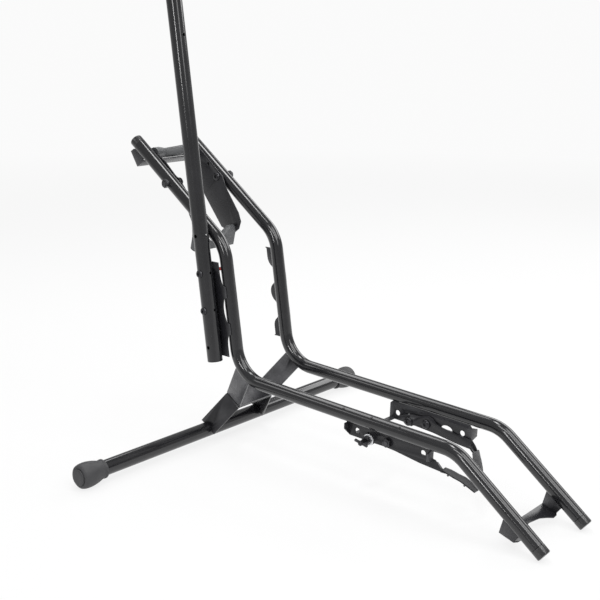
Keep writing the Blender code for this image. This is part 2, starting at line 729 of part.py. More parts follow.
def build_rear_strap(stand, materials, rail_clearances):
    """Sheet strap under the rails' top ends. The rocker rests above its web."""
    forward = plane_direction(REAR_STRAP_SLOPE)
    up = square_to(forward)
    front = rocker_point(UPPER_PAD_DRAWN) + Vector(REAR_STRAP_FROM_PAD)
    rear = offset_point(front, (forward, -REAR_STRAP_WIDTH))
    rear_top = offset_point(rear, (up, REAR_STRAP_TAB))
    lip_top = offset_point(rear_top, (forward, REAR_STRAP_LIP))
    rail_point = offset_point(front, (up, REAR_STRAP_NECK))
    panels = []
    for side in SIDE_NAMES:
        tab = [rear, front, rail_point, lip_top, rear_top]
        panels.append([flat_panel(tab, side * RAIL_PLANE)])
    web = [(rear, NEAR), (rear, FAR), (front, FAR), (front, NEAR)]
    panels.append([[Vector((point.x, side * RAIL_PLANE, point.y)) for point, side in web]])
    strap = sheet("rear_strap", panels, STRAP_THICKNESS, materials["satin_black_paint"], stand)
    cut_with(strap, *rail_clearances.values())


# Pole and the eared plates that carry it

EAR_PLANE = RAIL_PLANE + RAIL_RADIUS + SEAT_GAP + EAR_PLATE_THICKNESS / 2
POLE_PLANE = EAR_PLANE + EAR_PLATE_THICKNESS / 2 + SEAT_GAP + POLE_RADIUS


def rail_point_at_height(height):
    """Point on the middle run's axis at a height."""
    return LOW_BEND + UP_MID * ((height - LOW_BEND.y) / UP_MID.y)


def pole_foot():
    """Lower end of the pole's axis, set behind the rail at its lowest bolt hole."""
    hole_height = POLE_FOOT_HEIGHT + POLE_FIRST_HOLE * UP_POLE.y
    hole = rail_point_at_height(hole_height) - Vector((POLE_BEHIND_RAIL, 0.0))
    return hole - UP_POLE * POLE_FIRST_HOLE


POLE_FOOT = pole_foot()


def pole_hole_points():
    return [POLE_FOOT + UP_POLE * (POLE_FIRST_HOLE + index * POLE_HOLE_PITCH)
            for index in range(POLE_HOLES)]


def build_pole(stand, materials):
    profile = [
        (0.0, POLE_RADIUS),
        (POLE_LENGTH, POLE_RADIUS),
        (POLE_LENGTH, POLE_RADIUS - POLE_WALL),
        (0.0, POLE_RADIUS - POLE_WALL),
    ]
    y = NEAR * POLE_PLANE
    direction = (UP_POLE.x, 0.0, UP_POLE.y)
    pole = make_object("pole", turned(profile, POLE_SIDES, closed=True),
                       materials["gloss_black_paint"], stand,
                       along_line((POLE_FOOT.x, y, POLE_FOOT.y), direction), radians(40))
    for index, point in enumerate(pole_hole_points()):
        cut_with(pole, cross_cutter("pole_side_hole_%d" % (index + 1), point, y,
                                    POLE_DIAMETER * 1.2, POLE_HOLE_DIAMETER, stand))
    front = square_to(UP_POLE) * -1
    distances = [POLE_FIRST_HOLE + index * POLE_HOLE_PITCH for index in range(1, POLE_HOLES)]
    for index, distance in enumerate(distances + [POLE_UPPER_FRONT_HOLE]):
        wall = offset_point(POLE_FOOT, (UP_POLE, distance), (front, POLE_RADIUS))
        cut_with(pole, cross_cutter("pole_front_hole_%d" % (index + 1), wall, y, 4 * POLE_WALL,
                                    POLE_FRONT_HOLE_DIAMETER, stand, (front.x, 0.0, front.y)))
    top = POLE_FOOT + UP_POLE * POLE_LENGTH
    spigot = POLE_RADIUS - POLE_WALL - SLIP_GAP
    plug = [
        (-POLE_PLUG_SPIGOT, spigot),
        (SEAT_GAP, spigot),
        (SEAT_GAP, POLE_RADIUS),
        (POLE_PLUG_HEAD * 0.6, POLE_RADIUS),
        (POLE_PLUG_HEAD, POLE_RADIUS - 1.5 * MM),
    ]
    make_object("pole_top_plug", turned(plug, POLE_SIDES), materials["black_plastic"], stand,
                along_line((top.x, y, top.y), direction), radians(50))


def arc_drop(level, half_chord, bulge):
    """How far an arc has fallen from its crown at a level beside it."""
    radius = (half_chord ** 2 + bulge ** 2) / (2 * bulge)
    return radius - sqrt(radius ** 2 - level ** 2)


def ear_edges(ear, outer_end):
    """Back and front edge of one lobe, going up. An outer end is -1, 1 or 0 for a middle lobe."""
    rail_point = rail_point_at_height(ear.y)
    back_edge = []
    front_edge = []
    steps = 4
    for step in range(-steps, steps + 1):
        if step * outer_end > 0:
            continue
        level = step / steps * EAR_HALF_HEIGHT
        drop = arc_drop(level, EAR_HALF_HEIGHT, EAR_BACK_BULGE)
        back_edge.append(ear + UP_MID * level - Vector((EAR_BACK_MARGIN - drop, 0.0)))
        level = step / steps * EAR_FRONT_HALF_HEIGHT
        drop = arc_drop(level, EAR_FRONT_HALF_HEIGHT, EAR_FRONT_BULGE)
        front_edge.append(rail_point + UP_MID * level - Vector((EAR_FRONT - drop, 0.0)))
    if outer_end:
        reach, height = EAR_SPUR
        spur = [(EAR_END - 1.5 * height, 0.0), (EAR_END - height, reach), (EAR_END, reach)]
        back_end = [ear + UP_MID * (outer_end * level) - Vector((EAR_BACK_MARGIN + out, 0.0))
                    for level, out in spur]
        front_end = [rail_point + UP_MID * (outer_end * EAR_END) - Vector((EAR_FRONT, 0.0))]
        if outer_end > 0:
            return back_edge + back_end, front_edge + front_end
        return back_end[::-1] + back_edge, front_end + front_edge
    return back_edge, front_edge


def ear_plate_outline(ears):
    """Wavy strip: a lobe behind the rail at each pole hole, and welded tabs between them."""
    back_edge = []
    front_edge = []
    outer_ends = [-1] + [0] * (len(ears) - 2) + [1]
    for index, (ear, outer_end) in enumerate(zip(ears, outer_ends)):
        if index:
            middle = (ears[index - 1] + ear) / 2
            rail_point = rail_point_at_height(middle.y)
            for end in (-1, 1):
                level = UP_MID * (end * EAR_TAB_HALF_HEIGHT)
                back_edge.append(rail_point + level - Vector((TAB_BACK, 0.0)))
                front_edge.append(rail_point + level + Vector((TAB_REACH, 0.0)))
        back, front = ear_edges(ear, outer_end)
        back_edge.extend(back)
        front_edge.extend(front)
    return front_edge + back_edge[::-1]


def build_ear_plates(stand, materials):
    """The near plate is drilled for the pole. The far one is left plain."""
    ears = pole_hole_points()[:3]
    outline = ear_plate_outline(ears)
    drilled = {NEAR: ears, FAR: []}
    for side, word in SIDE_NAMES.items():
        y = side * EAR_PLANE
        holes = [flat_panel(circle_points(ear, POLE_HOLE_DIAMETER / 2), y) for ear in drilled[side]]
        sheet("pole_bracket_" + word, [[flat_panel(outline, y), *holes]],
              EAR_PLATE_THICKNESS, materials["satin_black_paint"], stand)


def build_pole_bolts(stand, materials):
    """Bolts through the pole and the near plate, with nuts on the plate's inner side."""
    head_seat = POLE_PLANE + POLE_RADIUS + SEAT_GAP
    nut_seat = EAR_PLANE - EAR_PLATE_THICKNESS / 2 - SEAT_GAP
    grip = head_seat - nut_seat + M6_NUT[1] + 1.0 * MM
    for word, index in zip(("lower", "upper"), POLE_BOLTED_HOLES):
        point = pole_hole_points()[index]
        bolt("pole_bolt_" + word, M6, grip, materials["black_oxide"], stand,
             along_width(point, NEAR * head_seat, NEAR))
        nut("pole_nut_" + word, M6_NUT, M6[0], materials["black_oxide"], stand,
            along_width(point, NEAR * nut_seat, FAR))


# V pads

def groove_pad(name, sections, material, parent, matrix):
    """Moulded saddle with a V groove between two rims, drawn through sections along X.

    A section is (x, half width, rim width, rim top, groove floor, underside at the edges,
    underside in the middle). Its width lies along Y and its groove opens towards +Z.
    """
    mesh_data = bmesh.new()
    rows = []
    for x, half_width, rim, top, floor, edge_base, middle_base in sections:
        outline = [
            (-half_width, edge_base), (0.0, middle_base), (half_width, edge_base), (half_width, top),
            (half_width - rim, top), (0.0, floor), (rim - half_width, top), (-half_width, top),
        ]
        rows.append([mesh_data.verts.new((x, y, z)) for y, z in outline])
    join_rings(mesh_data, rows, closed=False)
    mesh_data.faces.new(rows[0])
    mesh_data.faces.new(rows[-1])
    return make_object(name, mesh_data, material, parent, matrix, radians(30))


def rocker_pad_sections(half_width):
    """Crowned along its length, with its rims' tops on z = 0 in the middle."""
    sections = []
    steps = 6
    for index in range(steps + 1):
        share = 2 * index / steps - 1
        fall = 1 - sqrt(1 - (PAD_CROWN_RATIO * share) ** 2)
        top = -PAD_DEPTH * PAD_RIM_RATIO * fall
        floor = -PAD_DEPTH - PAD_BACK * PAD_GROOVE_RATIO * fall
        base = -PAD_DEPTH - PAD_BACK * (1 - PAD_BASE_RATIO * fall)
        sections.append((share * PAD_LENGTH / 2, half_width, PAD_LOBE, top, floor, base, base))
    return sections


def pad_screws(prefix, point, plane, thickness, depth, material, parent, pad):
    """A screw on each side through the plate into the pad's lobe."""
    for side, word in SIDE_NAMES.items():
        seat = plane + thickness / 2 + SEAT_GAP
        grip = thickness + depth
        bolt(prefix + word, M5, grip, material, parent, along_width(point, side * seat, side))
        hole = cross_cutter(prefix + word + "_hole", point, side * (plane - depth / 2 - thickness / 2),
                            depth + thickness, M5[0] + 2 * SLIP_GAP, parent)
        cut_with(pad, hole)


# Upper rocker

UPPER_PAD_DRAWN = (71.0, -1.3)
LOWER_PAD_DRAWN = (-84.0, -30.5)
UPPER_SCREW_DRAWN = (74.0, -13.0)
LOWER_SCREW_DRAWN = (-88.0, -37.4)
PLATE_HOLE_DRAWN = (30.0, 0.0)


def drawn_points(points, unit):
    """Pairs drawn in whole units, at their real size."""
    return [Vector((along * unit, across * unit)) for along, across in points]


def rocker_unit():
    """The rocker is drawn 183 units long."""
    return ROCKER_LENGTH / 183


def rocker_point(drawn):
    """Place in the stand of a point drawn on the rocker at rest, as (u, n)."""
    along, out = drawn_points([drawn], rocker_unit())[0]
    up = plane_direction(pi - ROCKER_TILT)
    return offset_point(UPPER_PIVOT, (up, along), (square_to(up), -out))


def rocker_outline():
    """Wide far plate, as (u, n) pairs."""
    points = [
        (80, 4), (60, 4), (-8, 10), (-28, 2), (-78, -7), (-92, -14), (-98, -27),
        (-95, -44), (-68, -57), (-3, -48), (44, -34), (62, -22), (78, -18), (85, -8),
    ]
    return drawn_points(points, rocker_unit())


def arm_outline():
    """Narrow near arm with a round eye at the upper pad's screw, as (u, n) pairs."""
    half = ROCKER_ARM_WIDTH / 2
    points = [UPPER_SCREW_DRAWN, (58, -11), (44, -8.2), (14, -7), (0, -4), (-14, -5), (-44, -9),
              (-72, -19), (-96, -42)]
    spine = drawn_points(points, rocker_unit())
    front = []
    rear = []
    for index, point in enumerate(spine):
        before = spine[max(index - 1, 0)]
        after = spine[min(index + 1, len(spine) - 1)]
        normal = square_to((after - before).normalized())
        if index:
            front.append(point - normal * half)
            rear.append(point + normal * half)
        else:
            eye = [point + (normal * cos(turn) + square_to(normal) * sin(turn)) * half * ROCKER_EYE_RATIO
                   for turn in (pi * step / 6 for step in range(7))]
    return front + rear[::-1] + eye


def build_rocker(stand, materials, rails):
    """Pad carrier that tilts on two bolts through the rails' top runs."""
    rocker = make_empty("upper_rocker_axis", stand, UPPER_PIVOT, pi - ROCKER_TILT)
    far_holes = []
    near_holes = []
    upper_place, upper_screw, lower_place, lower_screw, plate_hole = drawn_points(
        (UPPER_PAD_DRAWN, UPPER_SCREW_DRAWN, LOWER_PAD_DRAWN, LOWER_SCREW_DRAWN, PLATE_HOLE_DRAWN),
        rocker_unit())
    pad_places = {
        "upper": (upper_place, upper_screw, ROCKER_PAD_TURN),
        "lower": (lower_place, lower_screw, -ROCKER_PAD_TURN),
    }
    pivot_hole = circle_points((0.0, 0.0), M8[0] / 2 + SLIP_GAP)
    for holes in (far_holes, near_holes):
        holes.append(pivot_hole)
    half_width = ROCKER_PLANE - ROCKER_THICKNESS / 2 - SEAT_GAP
    for word, (pad_place, screw_place, turn) in pad_places.items():
        place = Matrix.Translation((pad_place.x, 0.0, -pad_place.y)) @ Matrix.Rotation(turn, 4, "Y")
        flip = Matrix.Rotation(pi, 4, "X")
        pad = groove_pad("rocker_pad_" + word, rocker_pad_sections(half_width),
                         materials["grey_plastic"], rocker, place @ flip)
        point = Vector((screw_place.x, -screw_place.y))
        pad_screws("rocker_screw_" + word + "_", point, ROCKER_PLANE, ROCKER_THICKNESS,
                   PAD_SCREW_DEPTH, materials["black_oxide"], rocker, pad)
        screw_hole = circle_points(point, M5[0] / 2 + SLIP_GAP)
        far_holes.append(screw_hole)
        near_holes.append(screw_hole)
    far_holes.append(circle_points(plate_hole, ROCKER_PLATE_HOLE_DIAMETER / 2))
    shapes = {FAR: ("rocker_plate_far", rocker_outline(), far_holes),
              NEAR: ("rocker_arm_near", arm_outline(), near_holes)}
    for side, (name, outline, holes) in shapes.items():
        mirrored = [Vector((u, -n)) for u, n in outline]
        y = side * ROCKER_PLANE
        sheet(name, [[flat_panel(mirrored, y), *[flat_panel(hole, y) for hole in holes]]],
              ROCKER_THICKNESS, materials["satin_black_paint"], rocker)
    build_rocker_pivots(stand, materials, rails)


def build_rocker_pivots(stand, materials, rails):
    """Pivot bolts from inside the rocker, through a spacer and the rail, to a nut outside."""
    head_seat = ROCKER_PLANE - ROCKER_THICKNESS / 2 - SWING_GAP
    rail_inner = RAIL_PLANE - RAIL_RADIUS
    rail_outer = RAIL_PLANE + RAIL_RADIUS
    spacer_from = ROCKER_PLANE + ROCKER_THICKNESS / 2 + SWING_GAP
    for side, word in SIDE_NAMES.items():
        y = side * RAIL_PLANE
        cut_with(rails[side], cross_cutter("rocker_bolt_hole_" + word, UPPER_PIVOT, y,
                                           RAIL_DIAMETER * 1.3, M8[0] + 2 * SLIP_GAP, stand))
        grip = rail_outer + SEAT_GAP + M8_NUT[1] + 1.0 * MM - head_seat
        bolt("rocker_bolt_" + word, M8, grip, materials["black_oxide"], stand,
             along_width(UPPER_PIVOT, side * head_seat, -side))
        spacer("rocker_spacer_" + word, ROCKER_SPACER_DIAMETER, M8[0] + 2 * SLIP_GAP,
               rail_inner - SEAT_GAP - spacer_from, materials["black_plastic"], stand,
               along_width(UPPER_PIVOT, side * spacer_from, side))
        nut("rocker_nut_" + word, M8_NUT, M8[0], materials["black_oxide"], stand,
            along_width(UPPER_PIVOT, side * (rail_outer + SEAT_GAP), side))


# Lower cradle and the cheeks that carry it

LOCK_RADIUS = sqrt(CRADLE_LOCK_BACK ** 2 + CRADLE_LOCK_DROP ** 2)
LOCK_ANGLE = atan2(-CRADLE_LOCK_DROP, -CRADLE_LOCK_BACK)
LOCK_POINT = Vector((-CRADLE_LOCK_BACK, -CRADLE_LOCK_DROP))
SLOT_MARGIN = radians(1.0)


def cradle_outline():
    """Side plate of the cradle, as (e, h) pairs from its pivot, drawn 167 units long."""
    points = [
        (-70, -8.6), (-43.5, -8.6), (-40, -11.5), (-33.9, -13), (-28, -11.5), (-22.5, -8.9),
        (13.4, -10.6), (59.4, -15.8), (97, -17.7), (95.2, -15.5), (90.9, -8.7), (85, -2.3),
        (72.3, -1.2), (61.3, -0.8), (48, 0.6), (28, 3), (17.9, 6.3), (12.4, 11.4), (3.6, 15),
        (-10.3, 10.2), (-29.4, 8.2), (-42.7, 3.8), (-51.3, 0), (-55.8, -6.5), (-70, -6.5),
    ]
    return drawn_points(points, CRADLE_LENGTH / 167)


def cheek_top(side_plane):
    """How far under the rail's axis a plate in this plane meets the rail."""
    sideways = RAIL_PLANE - side_plane - CHEEK_THICKNESS / 2
    return sqrt(max(RAIL_RADIUS ** 2 - sideways ** 2, 0.0)) + SEAT_GAP


def window_outline():
    """Half-moon window: a flat lower edge and an arched top."""
    steps = 6
    middle, base = CHEEK_WINDOW_START
    outline = []
    for step in range(steps + 1):
        angle = pi * step / steps
        outline.append(Vector((middle + cos(angle) * CHEEK_WINDOW_LENGTH / 2,
                               base + sin(angle) * CHEEK_WINDOW_HEIGHT)))
    return outline


def cheek_outline():
    """Fixed plate with a lobe round its arc slot, as (e, h) pairs from the pivot."""
    top = CRADLE_PIVOT_DROP - cheek_top(CHEEK_PLANE)
    lobe = M8[0] / 2 + CHEEK_SLOT_WALL
    slot_low = plane_direction(LOCK_ANGLE + SLOT_MARGIN) * LOCK_RADIUS
    lowest = slot_low.y - lobe
    corner = CHEEK_CORNER
    return [Vector(point) for point in (
        (-CHEEK_BACK, -CHEEK_REAR_DEPTH),
        (slot_low.x - lobe * 1.4, -CHEEK_REAR_DEPTH),
        (slot_low.x - lobe * 0.7, lowest),
        (slot_low.x + lobe * 0.7, lowest),
        (slot_low.x + lobe * 1.4, -CHEEK_REAR_DEPTH),
        (CHEEK_FRONT, -CHEEK_FRONT_DEPTH),
        (CHEEK_FRONT, top - corner),
        (CHEEK_FRONT - corner, top),
        (corner - CHEEK_BACK, top),
        (-CHEEK_BACK, top - corner),
    )]


def build_cheeks(stand, materials):
    """Fixed plates under the rails, each with an outward flange at both ends."""
    frame = make_empty("cheek_frame", stand, CRADLE_PIVOT, -LOW_DROP)
    bolt_reach = M8[0] / 2 + SLIP_GAP
    holes = [
        circle_points((0.0, 0.0), bolt_reach),
        arc_slot((0.0, 0.0), LOCK_RADIUS, LOCK_ANGLE - CRADLE_TILT / 2,
                 CRADLE_TILT / 2 + SLOT_MARGIN, bolt_reach),
        circle_points(CHEEK_REAR_HOLE, CHEEK_HOLE_DIAMETER / 2),
        circle_points(CHEEK_FRONT_HOLE, CHEEK_HOLE_DIAMETER / 2),
    ]
    high = CRADLE_PIVOT_DROP - cheek_top(CHEEK_PLANE) - CHEEK_CORNER
    folds = (
        (-CHEEK_BACK, -CHEEK_REAR_DEPTH, CHEEK_REAR_FLANGE_EDGE),
        (CHEEK_FRONT, -CHEEK_FRONT_DEPTH, CHEEK_FRONT_FLANGE_EDGE),
    )
    for side, word in SIDE_NAMES.items():
        y = side * CHEEK_PLANE
        flange_y = side * (CHEEK_PLANE + CHEEK_FLANGE)
        openings = holes + [window_outline()] if side == FAR else holes
        panels = [[flat_panel(cheek_outline(), y), *[flat_panel(hole, y) for hole in openings]]]
        for e, low, (edge_low, edge_high) in folds:
            panels.append([[Vector((e, y, low)), Vector((e, y, high)),
                            Vector((e, flange_y, edge_high)), Vector((e, flange_y, edge_low))]])
        sheet("cradle_cheek_" + word, panels, CHEEK_THICKNESS, materials["satin_black_paint"], frame)


def ramp_stations():
    """One wing of the V pad, rear to front, seen square to its slope.

    Each station is (distance, half width, wall height) of the outer edge and (distance, half
    width) of the inner edge, drawn 51.7 long, 46.2 to the side and 10.6 high.
    """
    stations = [
        (-1.7, 46.2, 7.6, -1.7, 36), (0, 45.6, 8.4, 0, 35), (6.4, 39.7, 9.5, 6.4, 29.2),
        (17.4, 31.7, 10.1, 16.5, 21.5), (25.6, 24.5, 10.6, 24, 14.5), (40.7, 16.3, 6.6, 34, 5),
        (50, 11.9, 4.5, 38, 1.5),
    ]
    widest = CRADLE_PLANE - CRADLE_THICKNESS / 2 - SEAT_GAP - RAMP_SIDE_GAP
    along = RAMP_LENGTH / 51.7
    across = widest / 46.2
    high = RAMP_WALL / 10.6
    return [[x * along, width * across, wall * high, inner_x * along, inner_width * across]
            for x, width, wall, inner_x, inner_width in stations]


def ramp_half_width(along):
    """Outer half width of the V pad at a distance down its slope."""
    stations = ramp_stations()
    for before, after in zip(stations, stations[1:]):
        if before[0] <= along <= after[0]:
            share = (along - before[0]) / (after[0] - before[0])
            return before[1] + (after[1] - before[1]) * share
    return stations[-1][1]


def ramp_pad_mesh():
    """Two wings that meet at the nose, each with a low wall outside and a slope inside."""
    mesh_data = bmesh.new()
    rows = []
    for side in (NEAR, FAR):
        stations = ramp_stations() if side == NEAR else ramp_stations()[::-1]
        for x, half_width, wall, inner_x, inner_width in stations:
            share = RAMP_RIM / (half_width - inner_width)
            rim_x = x + (inner_x - x) * share
            rim_y = half_width - RAMP_RIM
            ring = [(x, half_width, 0.0), (x, half_width, wall), (rim_x, rim_y, wall),
                    (inner_x, inner_width, RAMP_SILL), (inner_x, inner_width, 0.0)]
            rows.append([mesh_data.verts.new((px, side * py, pz)) for px, py, pz in ring])
    join_rings(mesh_data, rows, closed=False)
    mesh_data.faces.new(rows[0])
    mesh_data.faces.new(rows[-1])
    return mesh_data


def build_ramp(materials, cradle):
    """V pad and the sheet under it. The pad's tabs clip through slots in the sheet."""
    matrix = (Matrix.Translation((RAMP_START[0], 0.0, RAMP_START[1]))
              @ Matrix.Rotation(RAMP_SLOPE, 4, "Y"))
    pad = make_object("cradle_pad_front", ramp_pad_mesh(), materials["grey_plastic"], cradle,
                      matrix, radians(30))
    web_middle = -SEAT_GAP - CRADLE_THICKNESS / 2
    tab_length, tab_width = RAMP_TAB
    tab_low = web_middle - CRADLE_THICKNESS / 2 - RAMP_TAB_REACH
    tabs = bmesh.new()
    slots = []
    for x in RAMP_TABS:
        for side in SIDE_NAMES:
            y = side * (ramp_half_width(x) - RAMP_TAB_INSET)
            size = Matrix.Diagonal((tab_length, tab_width, RAMP_SILL - tab_low, 1.0))
            middle = Matrix.Translation((x, y, (RAMP_SILL + tab_low) / 2))
            bmesh.ops.create_cube(tabs, size=1.0, matrix=middle @ size)
            reach_x = tab_length / 2 + SEAT_GAP
            reach_y = tab_width / 2 + SEAT_GAP
            slots.append([Vector((x + i * reach_x, y + j * reach_y, web_middle))
                          for i, j in ((-1, -1), (1, -1), (1, 1), (-1, 1))])
    tab_object = hide_cutter(make_object("ramp_tabs", tabs, None, cradle, matrix))
    union = pad.modifiers.new("tabs", "BOOLEAN")
    union.operation = "UNION"
    union.solver = "EXACT"
    union.object = tab_object
    widest = CRADLE_PLANE - CRADLE_THICKNESS / 2 - SEAT_GAP
    stations = ramp_stations()
    outer = [(-RAMP_WEB_TAIL, widest), (0.0, widest)] + [(s[0], s[1]) for s in stations[2:]]
    inner = [(s[3], s[4]) for s in stations[:1:-1]]
    inner += [(stations[1][3], widest - RAMP_WEB_ARM), (-RAMP_WEB_TAIL, widest - RAMP_WEB_ARM)]
    outline = outer + [(x, -w) for x, w in outer[::-1]] + [(x, -w) for x, w in inner[::-1]] + inner
    sheet("cradle_web_front", [[[Vector((x, y, web_middle)) for x, y in outline], *slots]],
          CRADLE_THICKNESS, materials["satin_black_paint"], cradle, matrix)


def build_rest(materials, cradle):
    """Flat web between the side plates with a low grooved pad on it."""
    widest = CRADLE_PLANE - CRADLE_THICKNESS / 2 - SEAT_GAP
    middle = REST_WEB_TOP - CRADLE_THICKNESS / 2
    web_from = REST_FROM - REST_WEB_MARGIN
    web_to = REST_FROM + REST_LENGTH + REST_WEB_MARGIN
    cross_to = web_from + REST_WEB_CROSS
    right = [(web_from, widest), (cross_to, widest), (cross_to, REST_WEB_NECK), (web_to, REST_WEB_NECK)]
    outline = right + [(e, -y) for e, y in right[::-1]]
    sheet("cradle_web_rear", [[[Vector((e, y, middle)) for e, y in outline]]],
          CRADLE_THICKNESS, materials["satin_black_paint"], cradle)
    base = REST_WEB_TOP + SEAT_GAP
    sections = [(e, REST_HALF_WIDTH, REST_RIM, REST_TOP, REST_TOP - REST_GROOVE, base, base)
                for e in (REST_FROM, REST_FROM + REST_LENGTH)]
    groove_pad("cradle_pad_rear", sections, materials["grey_plastic"], cradle, None)


def build_cradle(stand, materials):
    """Pad carrier that tilts on its pivot bolts. Its lock bolts ride in the cheeks' arc slots."""
    cradle = make_empty("lower_cradle_axis", stand, CRADLE_PIVOT, -LOW_DROP)
    build_ramp(materials, cradle)
    build_rest(materials, cradle)
    bolt_hole = M8[0] / 2 + SLIP_GAP
    holes = [circle_points((0.0, 0.0), bolt_hole), circle_points(LOCK_POINT, bolt_hole)]
    for side, word in SIDE_NAMES.items():
        y = side * CRADLE_PLANE
        sheet("cradle_side_" + word,
              [[flat_panel(cradle_outline(), y), *[flat_panel(hole, y) for hole in holes]]],
              CRADLE_THICKNESS, materials["satin_black_paint"], cradle)
    return cradle


def build_cradle_bolts(stand, materials, cradle):
    """Fixed pivot bolts, the far lock bolt, and the near lock screw with its washer and bar."""
    frame = make_empty("cradle_bolt_frame", stand, CRADLE_PIVOT, -LOW_DROP)
    inner = CRADLE_PLANE - CRADLE_THICKNESS / 2 - SWING_GAP
    outer = CHEEK_PLANE + CHEEK_THICKNESS / 2 + SEAT_GAP
    grip = outer - inner + M8_THIN_NUT[1] + 1.0 * MM
    origin = Vector((0.0, 0.0))
    steel = materials["black_oxide"]
    for side, word in SIDE_NAMES.items():
        bolt("cradle_pivot_bolt_" + word, M8, grip, steel, frame,
             along_width(origin, side * inner, -side))
        nut("cradle_pivot_nut_" + word, M8_THIN_NUT, M8[0], steel, frame,
            along_width(origin, side * outer, side))
    seat = CRADLE_PLANE - CRADLE_THICKNESS / 2 - SEAT_GAP
    lock_outer = CHEEK_PLANE + CHEEK_THICKNESS / 2 + SWING_GAP
    bolt("cradle_lock_bolt_far", M8, lock_outer - seat + M8_NUT[1] + 1.0 * MM, steel, cradle,
         along_width(LOCK_POINT, FAR * seat, NEAR))
    nut("cradle_lock_nut_far", M8_NUT, M8[0], steel, cradle,
        along_width(LOCK_POINT, FAR * lock_outer, FAR))
    nut("cradle_lock_nut_near", M8_NUT, M8[0], steel, cradle,
        along_width(LOCK_POINT, NEAR * seat, FAR))
    spacer("lock_washer", LOCK_WASHER_DIAMETER, M8[0] + 2 * SLIP_GAP, LOCK_WASHER_THICKNESS,
           materials["bright_zinc"], cradle, along_width(LOCK_POINT, NEAR * lock_outer, NEAR))
    build_lock_screw(materials, cradle, lock_outer)


def build_lock_screw(materials, cradle, lock_outer):
    """Screw with a hexagon collar and a sliding bar, turned by hand about its own axis."""
    screw_axis = make_empty("lock_screw_axis", cradle, LOCK_POINT)
    collar_seat = lock_outer + LOCK_WASHER_THICKNESS + SEAT_GAP
    inner_end = CRADLE_PLANE - CRADLE_THICKNESS / 2 - SEAT_GAP - M8_NUT[1] - 1.0 * MM
    shank = M8[0] / 2
    tip = LOCK_HEX_HEIGHT + LOCK_SHANK_OUT
    profile = [
        (inner_end - collar_seat, shank),
        (0.0, shank),
        (0.0, LOCK_HEX_WIDTH / 2, "hex"),
        (LOCK_HEX_HEIGHT, LOCK_HEX_WIDTH / 2, "hex"),
        (LOCK_HEX_HEIGHT, shank),
        (tip - 1.0 * MM, shank),
        (tip, shank - 1.0 * MM),
    ]
    origin = Vector((0.0, 0.0))
    screw = make_object("lock_screw", turned(profile, BOLT_SIDES), materials["black_oxide"],
                        screw_axis, along_width(origin, NEAR * collar_seat, NEAR), radians(35))
    bar_y = NEAR * (collar_seat + tip - LOCK_BAR_SETBACK)
    along_bar = (cos(LOCK_BAR_DROOP), 0.0, -sin(LOCK_BAR_DROOP))
    cut_with(screw, cross_cutter("lock_bar_hole", origin, bar_y, LOCK_HEX_WIDTH,
                                 LOCK_BAR_DIAMETER + 2 * SLIP_GAP, screw_axis, along_bar))
    half = LOCK_BAR_LENGTH / 2
    radius = LOCK_BAR_DIAMETER / 2
    edge = 0.6 * MM
    profile = [(-half, radius - edge), (edge - half, radius),
               (half - edge, radius), (half, radius - edge)]
    make_object("lock_bar", turned(profile, BOLT_SIDES), materials["black_oxide"], screw_axis,
                along_line((0.0, bar_y, 0.0), along_bar), radians(35))


# Assembly

def centre_footprint(stand):
    """Move the stand so that the middle of its box, seen from above, lies on the origin."""
    bpy.context.view_layer.update()
    depsgraph = bpy.context.evaluated_depsgraph_get()
    points = []
    for thing in bpy.data.objects:
        if thing.type == "MESH" and not thing.hide_render:
            evaluated = thing.evaluated_get(depsgraph)
            points += [thing.matrix_world @ vertex.co for vertex in evaluated.data.vertices]
    for axis in (0, 1):
        values = [point[axis] for point in points]
        stand.location[axis] = -(min(values) + max(values)) / 2
    bpy.context.view_layer.update()


def report_axes():
    for name in ("upper_rocker_axis", "lower_cradle_axis", "lock_screw_axis"):
        empty = bpy.data.objects[name]
        print(name, [round(value, 5) for value in empty.matrix_world.translation])


def build_stand():
    clear_scene()
    materials = make_materials()
    stand = make_empty("stand", None)
    rails, rail_clearances = build_rails(stand, materials)
    build_rail_plug(stand, materials, rails)
    base_clearance = build_base(stand, materials)
    build_brackets(stand, materials, rail_clearances, base_clearance)
    build_front_strap(stand, materials, rail_clearances)
    build_rear_strap(stand, materials, rail_clearances)
    build_pole(stand, materials)
    build_ear_plates(stand, materials)
    build_pole_bolts(stand, materials)
    build_rocker(stand, materials, rails)
    build_cheeks(stand, materials)
    cradle = build_cradle(stand, materials)
    build_cradle_bolts(stand, materials, cradle)
    centre_footprint(stand)
    report_axes()


build_stand()
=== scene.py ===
from math import cos, pi, radians, sin, tan

import bmesh
import bpy
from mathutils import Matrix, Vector


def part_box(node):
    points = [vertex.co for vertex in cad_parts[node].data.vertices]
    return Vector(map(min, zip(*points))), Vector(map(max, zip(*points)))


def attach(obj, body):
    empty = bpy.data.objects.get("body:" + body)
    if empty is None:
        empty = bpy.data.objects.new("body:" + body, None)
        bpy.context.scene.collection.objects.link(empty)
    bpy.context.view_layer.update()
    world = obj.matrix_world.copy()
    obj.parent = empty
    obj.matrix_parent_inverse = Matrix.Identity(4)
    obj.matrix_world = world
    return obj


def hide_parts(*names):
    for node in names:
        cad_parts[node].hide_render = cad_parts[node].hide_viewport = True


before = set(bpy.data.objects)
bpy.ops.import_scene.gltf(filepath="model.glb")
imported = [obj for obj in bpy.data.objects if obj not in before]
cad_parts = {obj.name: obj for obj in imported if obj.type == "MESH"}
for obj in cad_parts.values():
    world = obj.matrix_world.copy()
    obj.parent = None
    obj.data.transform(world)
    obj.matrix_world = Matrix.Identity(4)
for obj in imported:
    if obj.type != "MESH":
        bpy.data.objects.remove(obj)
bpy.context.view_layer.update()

scene = bpy.context.scene
scene.view_settings.view_transform = "Standard"
MM = 0.001


